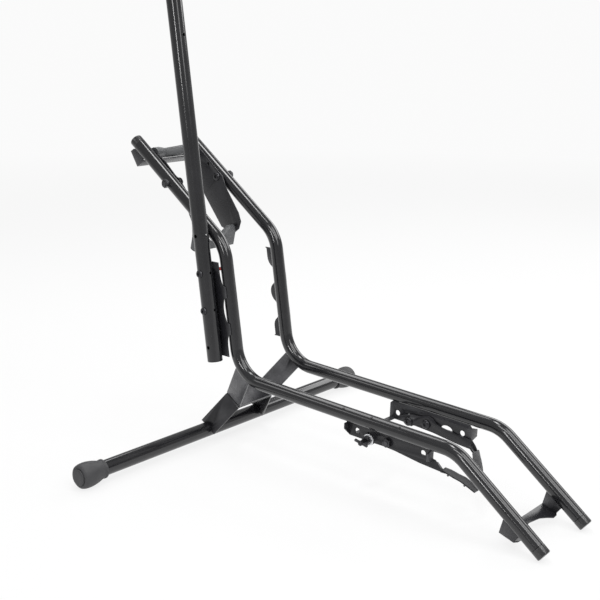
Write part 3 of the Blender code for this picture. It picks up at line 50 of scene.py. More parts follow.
# Camera
# The stand is seen from the front near corner, about fifteen degrees above level, with a lens
# of normal length for a studio table.
camera_lens = bpy.data.cameras.new("camera")
camera_lens.sensor_width = 36.0
camera_lens.lens = 64.476
camera = bpy.data.objects.new("camera", camera_lens)
scene.collection.objects.link(camera)
camera.location = (1.028628, -1.283121, 0.707548)
camera.rotation_euler = (1.31811, -0.006588, 0.715255)
scene.camera = camera


# Studio
# White paper floor in a white room, with soft lamps hung round the stand. The camera sees plain
# white behind it. In the gloss of the paint the room is dimmer, and so is the paper on the near
# side, where it ends. Places and sizes are in metres and powers in watts.
WHITE = 0.96
ROOM_LIGHT = 0.5
ROOM_IN_GLOSS = 0.45
PAPER_SIZE = 80.0
PAPER_GREY = (0.86, 0.86, 0.86, 1.0)
PAPER_SHADOW = 0.16
SHADOW_REACH = (1.2, 4.5)
NEAR_PAPER_IN_GLOSS = 0.6
NEAR_PAPER_SPAN = (-1.5, -0.5)
LAMPS = (("lamp_back", (0.1, 2.3, 1.5), (0.0, 0.0, 0.2), (2.4, 0.9), 26.0),
         ("lamp_top", (-0.06, 0.06, 2.5), (-0.2, 0.0, 0.3), (0.8, 0.4), 11.0),
         ("lamp_high_left", (-1.25, 0.5, 1.9), (0.0, 0.0, 0.2), (1.2, 1.2), 15.0),
         ("lamp_high_right", (1.3, 0.25, 1.9), (0.0, 0.0, 0.2), (1.0, 1.2), 13.0),
         ("lamp_near_strip", (0.5, -2.3, 1.35), (-0.1, 0.0, 0.7), (0.16, 1.1), 12.0),
         ("lamp_near_high", (1.0, -0.55, 1.45), (0.9, 0.1, 0.4), (1.7, 0.2), 8.5),
         ("lamp_right", (2.4, -0.4, 1.5), (0.0, 0.0, 0.6), (0.6, 0.8), 5.0),
         ("lamp_near_left", (-1.5, -1.45, 1.75), (0.0, 0.0, 0.2), (0.7, 0.5), 2.6))


def graded(tree, value, span, levels):
    """Turn a span of a value into a change of level. A level is a number or a node's output."""
    grade = tree.nodes.new("ShaderNodeMapRange")
    tree.links.new(value, grade.inputs["Value"])
    for socket, level in zip(("From Min", "From Max", "To Min", "To Max"), (*span, *levels)):
        if isinstance(level, bpy.types.NodeSocket):
            tree.links.new(level, grade.inputs[socket])
        else:
            grade.inputs[socket].default_value = level
    return grade.outputs["Result"]


room = bpy.data.worlds.new("room")
scene.world = room
room.use_nodes = True
room_rays = room.node_tree.nodes.new("ShaderNodeLightPath")
room_level = ROOM_LIGHT
for ray, level in (("Is Glossy Ray", ROOM_IN_GLOSS), ("Is Transmission Ray", WHITE),
                   ("Is Camera Ray", WHITE)):
    room_level = graded(room.node_tree, room_rays.outputs[ray], (0.0, 1.0), (room_level, level))
backdrop = room.node_tree.nodes["Background"]
backdrop.inputs["Color"].default_value = (1.0, 1.0, 1.0, 1.0)
room.node_tree.links.new(room_level, backdrop.inputs["Strength"])

bpy.ops.object.select_all(action="DESELECT")
bpy.ops.mesh.primitive_plane_add(size=PAPER_SIZE, location=(0.0, 0.0, 0.0))
floor = bpy.context.object
floor.name = "floor"
paper = bpy.data.materials.new("floor_paper")
paper.use_nodes = True
paper_tree = paper.node_tree
paper_node = paper_tree.nodes.new
paper_link = paper_tree.links.new
paper_tree.nodes.remove(paper_tree.nodes["Principled BSDF"])
paper_rays = paper_node("ShaderNodeLightPath")
paper_place = paper_node("ShaderNodeTexCoord").outputs["Object"]

paper_matte = paper_node("ShaderNodeBsdfDiffuse")
paper_matte.inputs["Color"].default_value = PAPER_GREY
paper_sides = paper_node("ShaderNodeSeparateXYZ")
paper_link(paper_place, paper_sides.inputs[0])
paper_in_gloss = graded(paper_tree, paper_sides.outputs["Y"], NEAR_PAPER_SPAN,
                        (NEAR_PAPER_IN_GLOSS, WHITE))
paper_level = graded(paper_tree, paper_rays.outputs["Is Camera Ray"], (0.0, 1.0),
                     (paper_in_gloss, WHITE))
paper_white = paper_node("ShaderNodeEmission")
paper_link(paper_level, paper_white.inputs["Strength"])

paper_seen = paper_node("ShaderNodeMath")
paper_seen.operation = "ADD"
paper_seen.use_clamp = True
paper_link(paper_rays.outputs["Is Camera Ray"], paper_seen.inputs[0])
paper_link(paper_rays.outputs["Is Glossy Ray"], paper_seen.inputs[1])
paper_reach = paper_node("ShaderNodeVectorMath")
paper_reach.operation = "LENGTH"
paper_link(paper_place, paper_reach.inputs[0])
paper_fade = graded(paper_tree, paper_reach.outputs["Value"], SHADOW_REACH,
                    (1.0 - PAPER_SHADOW, 1.0))
paper_share = paper_node("ShaderNodeMath")
paper_share.operation = "MULTIPLY"
paper_link(paper_seen.outputs["Value"], paper_share.inputs[0])
paper_link(paper_fade, paper_share.inputs[1])
paper_mix = paper_node("ShaderNodeMixShader")
paper_link(paper_share.outputs["Value"], paper_mix.inputs["Fac"])
paper_link(paper_matte.outputs["BSDF"], paper_mix.inputs[1])
paper_link(paper_white.outputs["Emission"], paper_mix.inputs[2])
paper_link(paper_mix.outputs["Shader"], paper_tree.nodes["Material Output"].inputs["Surface"])
floor.data.materials.append(paper)

for name, place, aim, size, power in LAMPS:
    soft_box = bpy.data.lights.new(name, "AREA")
    soft_box.shape = "RECTANGLE"
    soft_box.size, soft_box.size_y = size
    soft_box.energy = power
    lamp = bpy.data.objects.new(name, soft_box)
    scene.collection.objects.link(lamp)
    lamp.location = place
    lamp.rotation_euler = (Vector(aim) - Vector(place)).to_track_quat("-Z", "Y").to_euler()


# Rails
# Two runs of round steel tube, each bent in three places on a mandrel, then sprayed and baked
# gloss black. Their ends are open until the caps go in. The near one takes a small plug and has
# three weld dots on its low run.
SIDES = {"near": -1.0, "far": 1.0}
SEAT = 0.3 * MM
RAIL_RADIUS = 10.85 * MM
RAIL_WALL = 1.6 * MM
RAIL_BEND = 60.0 * MM
RAIL_AWAY = 61.5 * MM
RAIL_CORNERS = [(-0.405527, 0.510073), (-0.192601, 0.353663), (-0.159921, 0.134992),
                (0.265920, 0.120121), (0.413242, 0.007892)]
CAP_HEAD = 14.0 * MM
TUBE_SIDES = 64
BEND_STEP = radians(2.5)
LEAST_BEND_STEPS = 12
END_REACH = 0.1 * MM
WELD_DOT = 2.1 * MM
WELD_DOT_RISE = 0.5
WELD_DOT_TURN = radians(28.0)
WELD_DOTS_ALONG = (225.5 * MM, 279.0 * MM, 331.0 * MM)
CLOUD_DETAIL = 5.0
CLOUD_SPAN = (0.3, 0.7)
GRAIN_DETAIL = 3.0
GRAIN_STRENGTH = 0.35
# Pointiness span over which the painted edge highlight comes in.
EDGE_HIGHLIGHT_SPAN = (0.53, 0.60)


def coating(name, dark, light, gloss, cloud_size, grain_size, grain_depth, metal=0.0,
            edge_highlight=None, edge_highlight_share=0.5, ior=1.6):
    """Finish with cloudy colour and gloss, a fine grain, and a painted highlight of another
    colour in patches on convex edges.
    """
    finish = bpy.data.materials.new(name)
    finish.use_nodes = True
    tree = finish.node_tree
    link = tree.links.new
    shader = tree.nodes["Principled BSDF"]
    shader.inputs["Metallic"].default_value = metal
    shader.inputs["IOR"].default_value = ior
    place = tree.nodes.new("ShaderNodeTexCoord").outputs["Object"]
    patterns = []
    for size, detail in ((cloud_size, CLOUD_DETAIL), (grain_size, GRAIN_DETAIL)):
        noise = tree.nodes.new("ShaderNodeTexNoise")
        noise.inputs["Scale"].default_value = 1.0 / size
        noise.inputs["Detail"].default_value = detail
        link(place, noise.inputs["Vector"])
        patterns.append(noise.outputs["Fac"])
    clouds, grain = patterns
    tint = tree.nodes.new("ShaderNodeMix")
    tint.data_type = "RGBA"
    tint.inputs[6].default_value = (*dark, 1.0)
    tint.inputs[7].default_value = (*light, 1.0)
    link(clouds, tint.inputs["Factor"])
    colour = tint.outputs[2]
    link(graded(tree, clouds, CLOUD_SPAN, gloss), shader.inputs["Roughness"])
    relief = tree.nodes.new("ShaderNodeBump")
    relief.inputs["Strength"].default_value = GRAIN_STRENGTH
    relief.inputs["Distance"].default_value = grain_depth
    link(grain, relief.inputs["Height"])
    link(relief.outputs["Normal"], shader.inputs["Normal"])
    # Painted highlight: convex edges, found by Pointiness, are lightened in patches to another
    # colour.
    if edge_highlight:
        edge = tree.nodes.new("ShaderNodeNewGeometry").outputs["Pointiness"]
        highlight_patches = tree.nodes.new("ShaderNodeMath")
        highlight_patches.operation = "MULTIPLY"
        link(graded(tree, edge, EDGE_HIGHLIGHT_SPAN, (0.0, edge_highlight_share)), highlight_patches.inputs[0])
        link(clouds, highlight_patches.inputs[1])
        highlighted = tree.nodes.new("ShaderNodeMix")
        highlighted.data_type = "RGBA"
        link(highlight_patches.outputs["Value"], highlighted.inputs["Factor"])
        link(colour, highlighted.inputs[6])
        highlighted.inputs[7].default_value = (*edge_highlight, 1.0)
        colour = highlighted.outputs[2]
    link(colour, shader.inputs["Base Color"])
    return finish


gloss_paint = coating("gloss_black_enamel", (0.006, 0.006, 0.007), (0.014, 0.014, 0.016),
                      gloss=(0.12, 0.17), cloud_size=45 * MM, grain_size=4.5 * MM,
                      grain_depth=0.005 * MM)


def start_shape(name, piece):
    """Name the new primitive, set its place into its mesh and open it for editing."""
    piece.name = name
    piece.data.name = name
    bpy.ops.object.transform_apply(location=True, rotation=True, scale=True)
    bpy.ops.object.mode_set(mode="EDIT")
    bpy.ops.mesh.select_all(action="SELECT")


def close_shape():
    """Turn the faces of the open piece outwards and end the edit."""
    bpy.ops.mesh.select_all(action="SELECT")
    bpy.ops.mesh.normals_make_consistent(inside=False)
    bpy.ops.object.mode_set(mode="OBJECT")


def weld_on(piece):
    """Make the new primitive, which is selected, a part of an earlier piece."""
    piece.select_set(True)
    bpy.context.view_layer.objects.active = piece
    bpy.ops.object.join()


def pick_faces(piece, wanted):
    """Select the faces that pass a test, in edit mode."""
    bpy.ops.mesh.select_mode(type="FACE")
    bpy.ops.mesh.select_all(action="DESELECT")
    shape = bmesh.from_edit_mesh(piece.data)
    for face in shape.faces:
        if wanted(face):
            face.select_set(True)
    bmesh.update_edit_mesh(piece.data)


def finish_piece(piece, finish, slot, body, *nodes, smooth=35.0):
    """Close the edit, shade by angle, paint the piece, fix it to its body and hide its nodes."""
    if piece.mode == "EDIT":
        close_shape()
    bpy.ops.object.shade_smooth_by_angle(angle=radians(smooth))
    piece.data.materials.clear()
    piece.data.materials.append(finish)
    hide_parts(*nodes)
    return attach(piece, body)


def bend_tube(name, corners, y, radius, wall, bend_radius):
    """Tube drawn from a disc: each run is extruded, each bend spun about its centre."""
    points = [Vector((x, y, z)) for x, z in corners]
    run = (points[1] - points[0]).normalized()
    bpy.ops.object.select_all(action="DESELECT")
    bpy.ops.mesh.primitive_circle_add(vertices=TUBE_SIDES, radius=radius, fill_type="NGON",
                                      location=points[0],
                                      rotation=run.to_track_quat("Z", "Y").to_euler())
    piece = bpy.context.object
    start_shape(name, piece)
    here = points[0]
    first_run = run
    for corner, after in zip(points[1:-1], points[2:]):
        outward = (after - corner).normalized()
        turn = run.angle(outward)
        axis = run.cross(outward).normalized()
        set_back = bend_radius * tan(turn / 2)
        bend_start = corner - run * set_back
        bpy.ops.mesh.extrude_region_move(TRANSFORM_OT_translate={"value": bend_start - here})
        centre = bend_start + axis.cross(run) * bend_radius
        bpy.ops.mesh.spin(steps=max(LEAST_BEND_STEPS, round(turn / BEND_STEP)), angle=-turn,
                          center=centre, axis=axis)
        here = corner + outward * set_back
        run = outward
    bpy.ops.mesh.extrude_region_move(TRANSFORM_OT_translate={"value": points[-1] - here})
    for end, inward in ((points[0], first_run), (points[-1], -run)):
        pick_faces(piece, lambda face: (face.calc_center_median() - end).length < END_REACH)
        bpy.ops.mesh.inset(thickness=wall, use_even_offset=True)
        bpy.ops.mesh.extrude_region_move(TRANSFORM_OT_translate={"value": inward * CAP_HEAD})
    return piece


rail_ends = [Vector(corner) for corner in RAIL_CORNERS]
top_way = (rail_ends[0] - rail_ends[1]).normalized()
low_way = (rail_ends[3] - rail_ends[2]).normalized()
front_way = (rail_ends[4] - rail_ends[3]).normalized()
bare_rail = [tuple(rail_ends[0] - top_way * (CAP_HEAD + SEAT)), *RAIL_CORNERS[1:4],
             tuple(rail_ends[4] - front_way * (CAP_HEAD + SEAT))]
for side, sign in SIDES.items():
    rail = bend_tube("rail_tube_" + side, bare_rail, sign * RAIL_AWAY, RAIL_RADIUS, RAIL_WALL,
                     RAIL_BEND)
    close_shape()
    if side == "near":
        for along in WELD_DOTS_ALONG:
            axis_place = rail_ends[2] + low_way * along
            bpy.ops.object.select_all(action="DESELECT")
            bpy.ops.mesh.primitive_uv_sphere_add(
                segments=16, ring_count=8, radius=WELD_DOT, scale=(1.0, 1.0, WELD_DOT_RISE),
                location=(axis_place.x, sign * (RAIL_AWAY + RAIL_RADIUS * sin(WELD_DOT_TURN)),
                          axis_place.y + RAIL_RADIUS * cos(WELD_DOT_TURN)),
                rotation=(-sign * WELD_DOT_TURN, 0.0, 0.0))
            weld_on(rail)
    finish_piece(rail, gloss_paint, "gloss_black_paint", "stand", "rail_" + side)


# Rail end caps
# Black plastic plugs with a rounded head, pushed into the rails' ends. A fine dark seam shows
# where the head meets the tube.
CAP_FACE = RAIL_RADIUS * 0.45
CAP_EDGE = 1.8 * MM
CAP_SEAM = 0.5 * MM
CAP_SPIGOT = 12.0 * MM
CAP_SPIGOT_RADIUS = RAIL_RADIUS - RAIL_WALL - SEAT
CAP_SPIGOT_TAPER = (1.0 * MM, 0.9 * MM)

cap_plastic = coating("cap_plastic", (0.010, 0.010, 0.011), (0.022, 0.022, 0.023),
                      gloss=(0.16, 0.26), cloud_size=12 * MM, grain_size=0.7 * MM,
                      grain_depth=0.03 * MM)


def turn_piece(name, seat, axis, rings, sides=40):
    """Turned piece: a disc at the first ring, drawn out and scaled ring by ring."""
    run = Vector(axis).normalized()
    seat = Vector(seat)
    bpy.ops.object.select_all(action="DESELECT")
    bpy.ops.mesh.primitive_circle_add(vertices=sides, radius=rings[0][1], fill_type="NGON",
                                      location=seat + run * rings[0][0],
                                      rotation=run.to_track_quat("Z", "X").to_euler())
    piece = bpy.context.object
    start_shape(name, piece)
    for before, ring in zip(rings, rings[1:]):
        bpy.ops.mesh.extrude_region_move(
            TRANSFORM_OT_translate={"value": run * (ring[0] - before[0])})
        if ring[1] != before[1]:
            share = ring[1] / before[1]
            bpy.ops.transform.resize(value=(share, share, share),
                                     center_override=seat + run * ring[0])
    return piece


def rounded_edge(radius, edge, steps=4):
    """Rings of a quarter round from a flat end at zero out to the full radius."""
    return [(edge * (1 - cos(pi / 2 * step / steps)),
             radius - edge * (1 - sin(pi / 2 * step / steps))) for step in range(steps + 1)]


cap_rings = [(0.0, CAP_FACE), *rounded_edge(RAIL_RADIUS, CAP_EDGE),
             (CAP_HEAD - CAP_SEAM, RAIL_RADIUS),
             (CAP_HEAD - CAP_SEAM / 5, RAIL_RADIUS - CAP_SEAM * 0.8),
             (CAP_HEAD, RAIL_RADIUS - CAP_SEAM), (CAP_HEAD, CAP_SPIGOT_RADIUS),
             (CAP_HEAD + CAP_SPIGOT - CAP_SPIGOT_TAPER[0], CAP_SPIGOT_RADIUS),
             (CAP_HEAD + CAP_SPIGOT, CAP_SPIGOT_RADIUS - CAP_SPIGOT_TAPER[1])]
for side, sign in SIDES.items():
    for place, end, way in (("top", rail_ends[0], top_way), ("front", rail_ends[4], front_way)):
        cap = turn_piece("rail_end_cap_" + place + "_" + side,
                         (end.x, sign * RAIL_AWAY, end.y), (-way.x, 0.0, -way.y), cap_rings)
        finish_piece(cap, cap_plastic, "black_plastic", "stand",
                     "rail_cap_" + place + "_" + side)


# Rail plug
# Small round-headed red plastic plug pressed into a drilled hole in the near rail, behind and a
# little outwards.
PLUG_ALONG = 184.0 * MM
PLUG_TURN = radians(38.0)
PLUG_RINGS = [(-2.6 * MM, 2.0 * MM), (0.3 * MM, 2.0 * MM), (0.3 * MM, 2.76 * MM),
              (0.7 * MM, 2.95 * MM), (1.2 * MM, 3.0 * MM), (2.0 * MM, 2.75 * MM),
              (2.55 * MM, 2.34 * MM), (3.1 * MM, 1.6 * MM), (3.4 * MM, 0.9 * MM)]

red_plastic = coating("red_plug_plastic", (0.50, 0.012, 0.010), (0.70, 0.03, 0.02),
                      gloss=(0.25, 0.4), cloud_size=4 * MM, grain_size=0.5 * MM,
                      grain_depth=0.02 * MM)
mid_way = (rail_ends[1] - rail_ends[2]).normalized()
plug_axis = rail_ends[2] + mid_way * PLUG_ALONG
plug_out = Vector((-mid_way.y * cos(PLUG_TURN), -sin(PLUG_TURN), mid_way.x * cos(PLUG_TURN)))
plug = turn_piece("rail_button", Vector((plug_axis.x, -RAIL_AWAY, plug_axis.y))
                  + plug_out * RAIL_RADIUS, plug_out, PLUG_RINGS, sides=24)
finish_piece(plug, red_plastic, "red_plastic", "stand", "rail_plug")


# Base tube
# Straight steel tube across the back, sprayed with the rails. Its open ends sit inside the
# feet.
BASE_PLACE = Vector((-0.242321, 0.0, 0.0205))
BASE_RADIUS = 12.7 * MM
BASE_HALF = 330.2 * MM
BASE_BORE = BASE_RADIUS - 1.5 * MM
BASE_BORE_DEPTH = 30.0 * MM
TUBE_EDGE = 0.3 * MM

base_tube = turn_piece("cross_tube", BASE_PLACE, (0.0, 1.0, 0.0),
                       [(BASE_BORE_DEPTH - BASE_HALF, BASE_BORE), (-BASE_HALF, BASE_BORE),
                        (-BASE_HALF, BASE_RADIUS - TUBE_EDGE),
                        (TUBE_EDGE - BASE_HALF, BASE_RADIUS), (0.0, BASE_RADIUS),
                        (BASE_HALF - TUBE_EDGE, BASE_RADIUS),
                        (BASE_HALF, BASE_RADIUS - TUBE_EDGE), (BASE_HALF, BASE_BORE),
                        (BASE_HALF - BASE_BORE_DEPTH, BASE_BORE)])
finish_piece(base_tube, gloss_paint, "gloss_black_paint", "stand", "base_tube")


# Feet
# Moulded rubber, pushed over the base tube's ends: a bellied body with a grooved disc on the end
# and a thin collar inside. The rubber is dull and a little dusty. The body's rings are shares of
# its radius, and the collar's stand out from the tube.
FOOT_RADIUS = 20.5 * MM
FOOT_REACH = 339.5 * MM
FOOT_BODY = ((0.0, 0.40), (0.0, 0.62), (0.5, 0.66), (2.6, 0.67), (2.8, 0.70), (2.2, 0.75),
             (2.8, 0.82), (4.2, 0.90), (6.4, 0.945), (9.0, 0.975), (12.0, 0.993), (15.0, 1.0),
             (21.0, 0.992), (27.0, 0.95), (33.0, 0.888), (39.0, 0.80), (43.0, 0.735))
FOOT_COLLAR = ((45.0, 2.2), (45.9, 2.3), (46.5, 3.0), (49.4, 3.1), (50.0, 2.6), (50.0, 0.3),
               (9.0, 0.3))

foot_rubber = coating("foot_rubber_dull", (0.018, 0.018, 0.020), (0.042, 0.042, 0.045),
                      gloss=(0.50, 0.70), cloud_size=20 * MM, grain_size=1.1 * MM,
                      grain_depth=0.12 * MM)
foot_rings = [(depth * MM, FOOT_RADIUS * share) for depth, share in FOOT_BODY]
foot_rings += [(depth * MM, BASE_RADIUS + rise * MM) for depth, rise in FOOT_COLLAR]
for side, sign in SIDES.items():
    foot = turn_piece("rubber_foot_" + side, BASE_PLACE + Vector((0.0, sign * FOOT_REACH, 0.0)),
                      (0.0, -sign, 0.0), foot_rings, sides=56)
    finish_piece(foot, foot_rubber, "foot_rubber", "stand", "foot_" + side, smooth=50.0)


# Brackets
# Two strips of thick sheet folded in a press and welded back to back: the upper one reaches up
# to both rails, the lower one down to the base tube. Satin black with a painted grey highlight
# on the convex edges. The lower one has a darker copy of the satin, painted shade, and is a
# little glossier.
SHEET_RIM = 0.3 * MM
BRACKET_SHEET = 2.5 * MM
BRACKET_RIM = 0.35 * MM
FOLD_RADIUS = 2.0 * MM
FOLD_SEGMENTS = 4
FOLD_TURNS = (radians(8.0), radians(80.0))
SHORTEST_FOLD = 20.0 * MM
FOLD_SKEW = 1.0 * MM
MERGE_REACH = 0.01 * MM
FLAT_TURN = radians(0.6)

satin_paint = coating("satin_black_powder", (0.009, 0.009, 0.011), (0.019, 0.019, 0.022),
                      gloss=(0.22, 0.32), cloud_size=30 * MM, grain_size=0.9 * MM,
                      grain_depth=0.05 * MM, edge_highlight=(0.24, 0.24, 0.25), edge_highlight_share=0.6, ior=1.42)
# Darker copy of the satin for the lower bracket, in colour and with a lower IOR that dims its
# reflections: painted shade.
shaded_satin_paint = coating("satin_black_powder_shaded", (0.005, 0.005, 0.006), (0.011, 0.011, 0.013),
                          gloss=(0.16, 0.24), cloud_size=30 * MM, grain_size=0.9 * MM,
                          grain_depth=0.03 * MM, edge_highlight=(0.24, 0.24, 0.25), edge_highlight_share=0.6,
                          ior=1.36)


def face_turn(edge):
    """How far the surface turns over an edge."""
    return edge.calc_face_angle(0.0)


def pick_edges(piece, wanted):
    """Select the edges between two faces that pass a test, in edit mode."""
    bpy.ops.mesh.select_mode(type="EDGE")
    bpy.ops.mesh.select_all(action="DESELECT")
    shape = bmesh.from_edit_mesh(piece.data)
    for edge in shape.edges:
        if len(edge.link_faces) == 2 and wanted(edge):
            edge.select_set(True)
    bmesh.update_edit_mesh(piece.data)


def copy_of_node(name, node):
    """A merged copy of a CAD node, open for editing, with flat faces made whole."""
    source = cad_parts[node]
    piece = bpy.data.objects.new(name, source.data.copy())
    piece.data.name = name
    scene.collection.objects.link(piece)
    bpy.ops.object.select_all(action="DESELECT")
    bpy.context.view_layer.objects.active = piece
    piece.select_set(True)
    bpy.ops.object.mode_set(mode="EDIT")
    bpy.ops.mesh.select_all(action="SELECT")
    bpy.ops.mesh.customdata_custom_splitnormals_clear()
    bpy.ops.mesh.remove_doubles(threshold=MERGE_REACH)
    bpy.ops.mesh.dissolve_limited(angle_limit=FLAT_TURN)
    return piece


def press_folds(piece, is_fold, thickness, inner_radius):
    """Round the folds of a bent sheet: a small radius inside, a larger one round the outside."""
    for outside in (True, False):
        radius = inner_radius + (thickness if outside else 0.0)
        shape = bmesh.from_edit_mesh(piece.data)
        turns = [face_turn(edge) for edge in shape.edges
                 if len(edge.link_faces) == 2 and is_fold(edge) and edge.is_convex == outside]
        if not turns:
            continue
        pick_edges(piece, lambda edge: is_fold(edge) and edge.is_convex == outside)
        bpy.ops.mesh.bevel(offset=radius * tan(max(turns) / 2), offset_type="OFFSET",
                           segments=FOLD_SEGMENTS, affect="EDGES", clamp_overlap=True)


def soften_rims(piece, width, least_turn=50.0, segments=2):
    """Take the sharpness off sheared and moulded edges."""
    pick_edges(piece, lambda edge: face_turn(edge) > radians(least_turn))
    bpy.ops.mesh.bevel(offset=width, offset_type="OFFSET", segments=segments, affect="EDGES",
                       clamp_overlap=True)


def bracket_fold(edge):
    """The long edges across the strip, square to the stand's length."""
    start, end = (vertex.co for vertex in edge.verts)
    return (FOLD_TURNS[0] < face_turn(edge) < FOLD_TURNS[1]
            and (start - end).length > SHORTEST_FOLD and abs(start.y - end.y) < FOLD_SKEW)


for place, node, paint in (("upper", "rail_bracket", satin_paint),
                           ("lower", "base_bracket", shaded_satin_paint)):
    bracket = copy_of_node("folded_bracket_" + place, node)
    press_folds(bracket, bracket_fold, BRACKET_SHEET, FOLD_RADIUS)
    soften_rims(bracket, BRACKET_RIM)
    finish_piece(bracket, paint, "satin_black_paint", "stand", node)


# Straps
# Two folded strips of sheet that tie the rails together, one under the top ends and one with a
# waisted middle under the front ends. Their tabs are welded to the rails.
for place in ("front", "rear"):
    strap = copy_of_node("tie_strap_" + place, place + "_strap")
    soften_rims(strap, SHEET_RIM)
    finish_piece(strap, satin_paint, "satin_black_paint", "stand", place + "_strap")


# Eared plates
# Laser-cut wavy plates welded to the outside of both rails. Their lobes reach back behind the
# rails, and the near ones carry the pole's bolts.
CUT_EDGE_TURN = 20.0

for side in SIDES:
    ears = copy_of_node("eared_plate_" + side, "pole_bracket_" + side)
    soften_rims(ears, SHEET_RIM, CUT_EDGE_TURN)
    finish_piece(ears, satin_paint, "satin_black_paint", "stand", "pole_bracket_" + side)


# Pole
# Long straight tube bolted to the near plate and sprayed gloss black. It is drilled through its
# side and through its front, where each hole has a raised rim, and has a plain plastic plug in
# the top.
POLE_FOOT = Vector((-0.19148, -0.08765, 0.1627))
POLE_WAY = Vector((-0.139173, 0.0, 0.990268))
POLE_FRONT = Vector((POLE_WAY.z, 0.0, -POLE_WAY.x))
POLE_RADIUS = 12.7 * MM
POLE_BORE = POLE_RADIUS - 1.5 * MM
POLE_LENGTH = 800.0 * MM
POLE_SIDE_HOLES = [24.8 * MM + index * 61.7 * MM for index in range(4)]
POLE_FRONT_HOLES = POLE_SIDE_HOLES[1:] + [528.8 * MM]
POLE_BORE_ENDS = (30.0 * MM, 40.0 * MM)
HOLE_SIDES = 28
SIDE_HOLE = 6.2 * MM
SIDE_DRILL = 30.0 * MM
FRONT_HOLE = 4.6 * MM
FRONT_DRILL = 6.0 * MM
HOLE_RIM = 2.9 * MM
HOLE_RIM_THICKNESS = 0.55 * MM
HOLE_RIM_SUNK = 0.15 * MM
HOLE_MARGIN = 7.0 * MM
PLUG_WALL = 0.25 * MM


def cut_away(piece, cutter, operation="DIFFERENCE"):
    """Cut a piece with another shape, which is then put away."""
    cut = piece.modifiers.new("cut", "BOOLEAN")
    cut.operation = operation
    cut.solver = "EXACT"
    cut.object = cutter
    bpy.ops.object.select_all(action="DESELECT")
    bpy.context.view_layer.objects.active = piece
    piece.select_set(True)
    bpy.ops.object.modifier_apply(modifier=cut.name)
    bpy.data.objects.remove(cutter, do_unlink=True)


def drill(piece, place, way, diameter, length):
    """Cut a round hole, centred on a place."""
    bpy.ops.object.select_all(action="DESELECT")
    bpy.ops.mesh.primitive_cylinder_add(
        vertices=HOLE_SIDES, radius=diameter / 2, depth=length, location=place,
        rotation=Vector(way).to_track_quat("Z", "X").to_euler())
    cut_away(piece, bpy.context.object)


pole_rings = [(POLE_BORE_ENDS[0], POLE_BORE), (0.0, POLE_BORE), (0.0, POLE_RADIUS - TUBE_EDGE),
              (TUBE_EDGE, POLE_RADIUS)]
for height in sorted(set(POLE_SIDE_HOLES + POLE_FRONT_HOLES)):
    pole_rings += [(height - HOLE_MARGIN, POLE_RADIUS), (height + HOLE_MARGIN, POLE_RADIUS)]
pole_rings += [(POLE_LENGTH - TUBE_EDGE, POLE_RADIUS), (POLE_LENGTH, POLE_RADIUS - TUBE_EDGE),
               (POLE_LENGTH, POLE_BORE), (POLE_BORE_ENDS[1], POLE_BORE)]
pole = turn_piece("pole_tube", POLE_FOOT, POLE_WAY, pole_rings, TUBE_SIDES)
close_shape()
for height in POLE_SIDE_HOLES:
    drill(pole, POLE_FOOT + POLE_WAY * height, (0.0, 1.0, 0.0), SIDE_HOLE, SIDE_DRILL)
for height in POLE_FRONT_HOLES:
    drill(pole, POLE_FOOT + POLE_WAY * height + POLE_FRONT * POLE_RADIUS, POLE_FRONT, FRONT_HOLE,
          FRONT_DRILL)
    bpy.ops.object.select_all(action="DESELECT")
    bpy.ops.mesh.primitive_torus_add(
        major_segments=HOLE_SIDES, minor_segments=10, major_radius=HOLE_RIM,
        minor_radius=HOLE_RIM_THICKNESS,
        location=POLE_FOOT + POLE_WAY * height + POLE_FRONT * (POLE_RADIUS - HOLE_RIM_SUNK),
        rotation=POLE_FRONT.to_track_quat("Z", "X").to_euler())
    weld_on(pole)
finish_piece(pole, gloss_paint, "gloss_black_paint", "stand", "pole")

pole_plug = turn_piece("pole_plug", POLE_FOOT + POLE_WAY * POLE_LENGTH, POLE_WAY,
                       [(-16 * MM, POLE_BORE - 0.9 * MM), (-15 * MM, POLE_BORE - PLUG_WALL),
                        (SEAT, POLE_BORE - PLUG_WALL), (SEAT, POLE_RADIUS - TUBE_EDGE),
                        (0.6 * MM, POLE_RADIUS), (2.4 * MM, POLE_RADIUS),
                        (3.0 * MM, POLE_RADIUS - 0.2 * MM), (3.6 * MM, POLE_RADIUS - 0.8 * MM),
                        (4.0 * MM, POLE_RADIUS - 1.9 * MM)], sides=48)
finish_piece(pole_plug, cap_plastic, "black_plastic", "stand", "pole_top_plug")


# Bolts
# Button-head socket bolts of blackened steel: a low domed head with a six-sided socket. The
# sizes are across the head, its height, across the shank and across the key.
SMALL_BOLT = (9.5 * MM, 3.0 * MM, 5.0 * MM, 3.0 * MM)
MIDDLE_BOLT = (12.8 * MM, 3.2 * MM, 6.0 * MM, 4.0 * MM)
LARGE_BOLT = (14.5 * MM, 3.2 * MM, 8.0 * MM, 5.0 * MM)
DOME_STEPS = 6
DOME_FLAT = 0.75
HEAD_EDGE = 0.2 * MM
HEAD_INSET = 0.15 * MM
SHANK_CHAMFER = 0.6 * MM
SOCKET_SHARE = 0.55

blackened = coating("blackened_steel", (0.020, 0.020, 0.022), (0.050, 0.050, 0.055),
                    gloss=(0.22, 0.36), cloud_size=6 * MM, grain_size=0.4 * MM,
                    grain_depth=0.03 * MM, metal=0.75, edge_highlight=(0.35, 0.35, 0.37), edge_highlight_share=0.6)


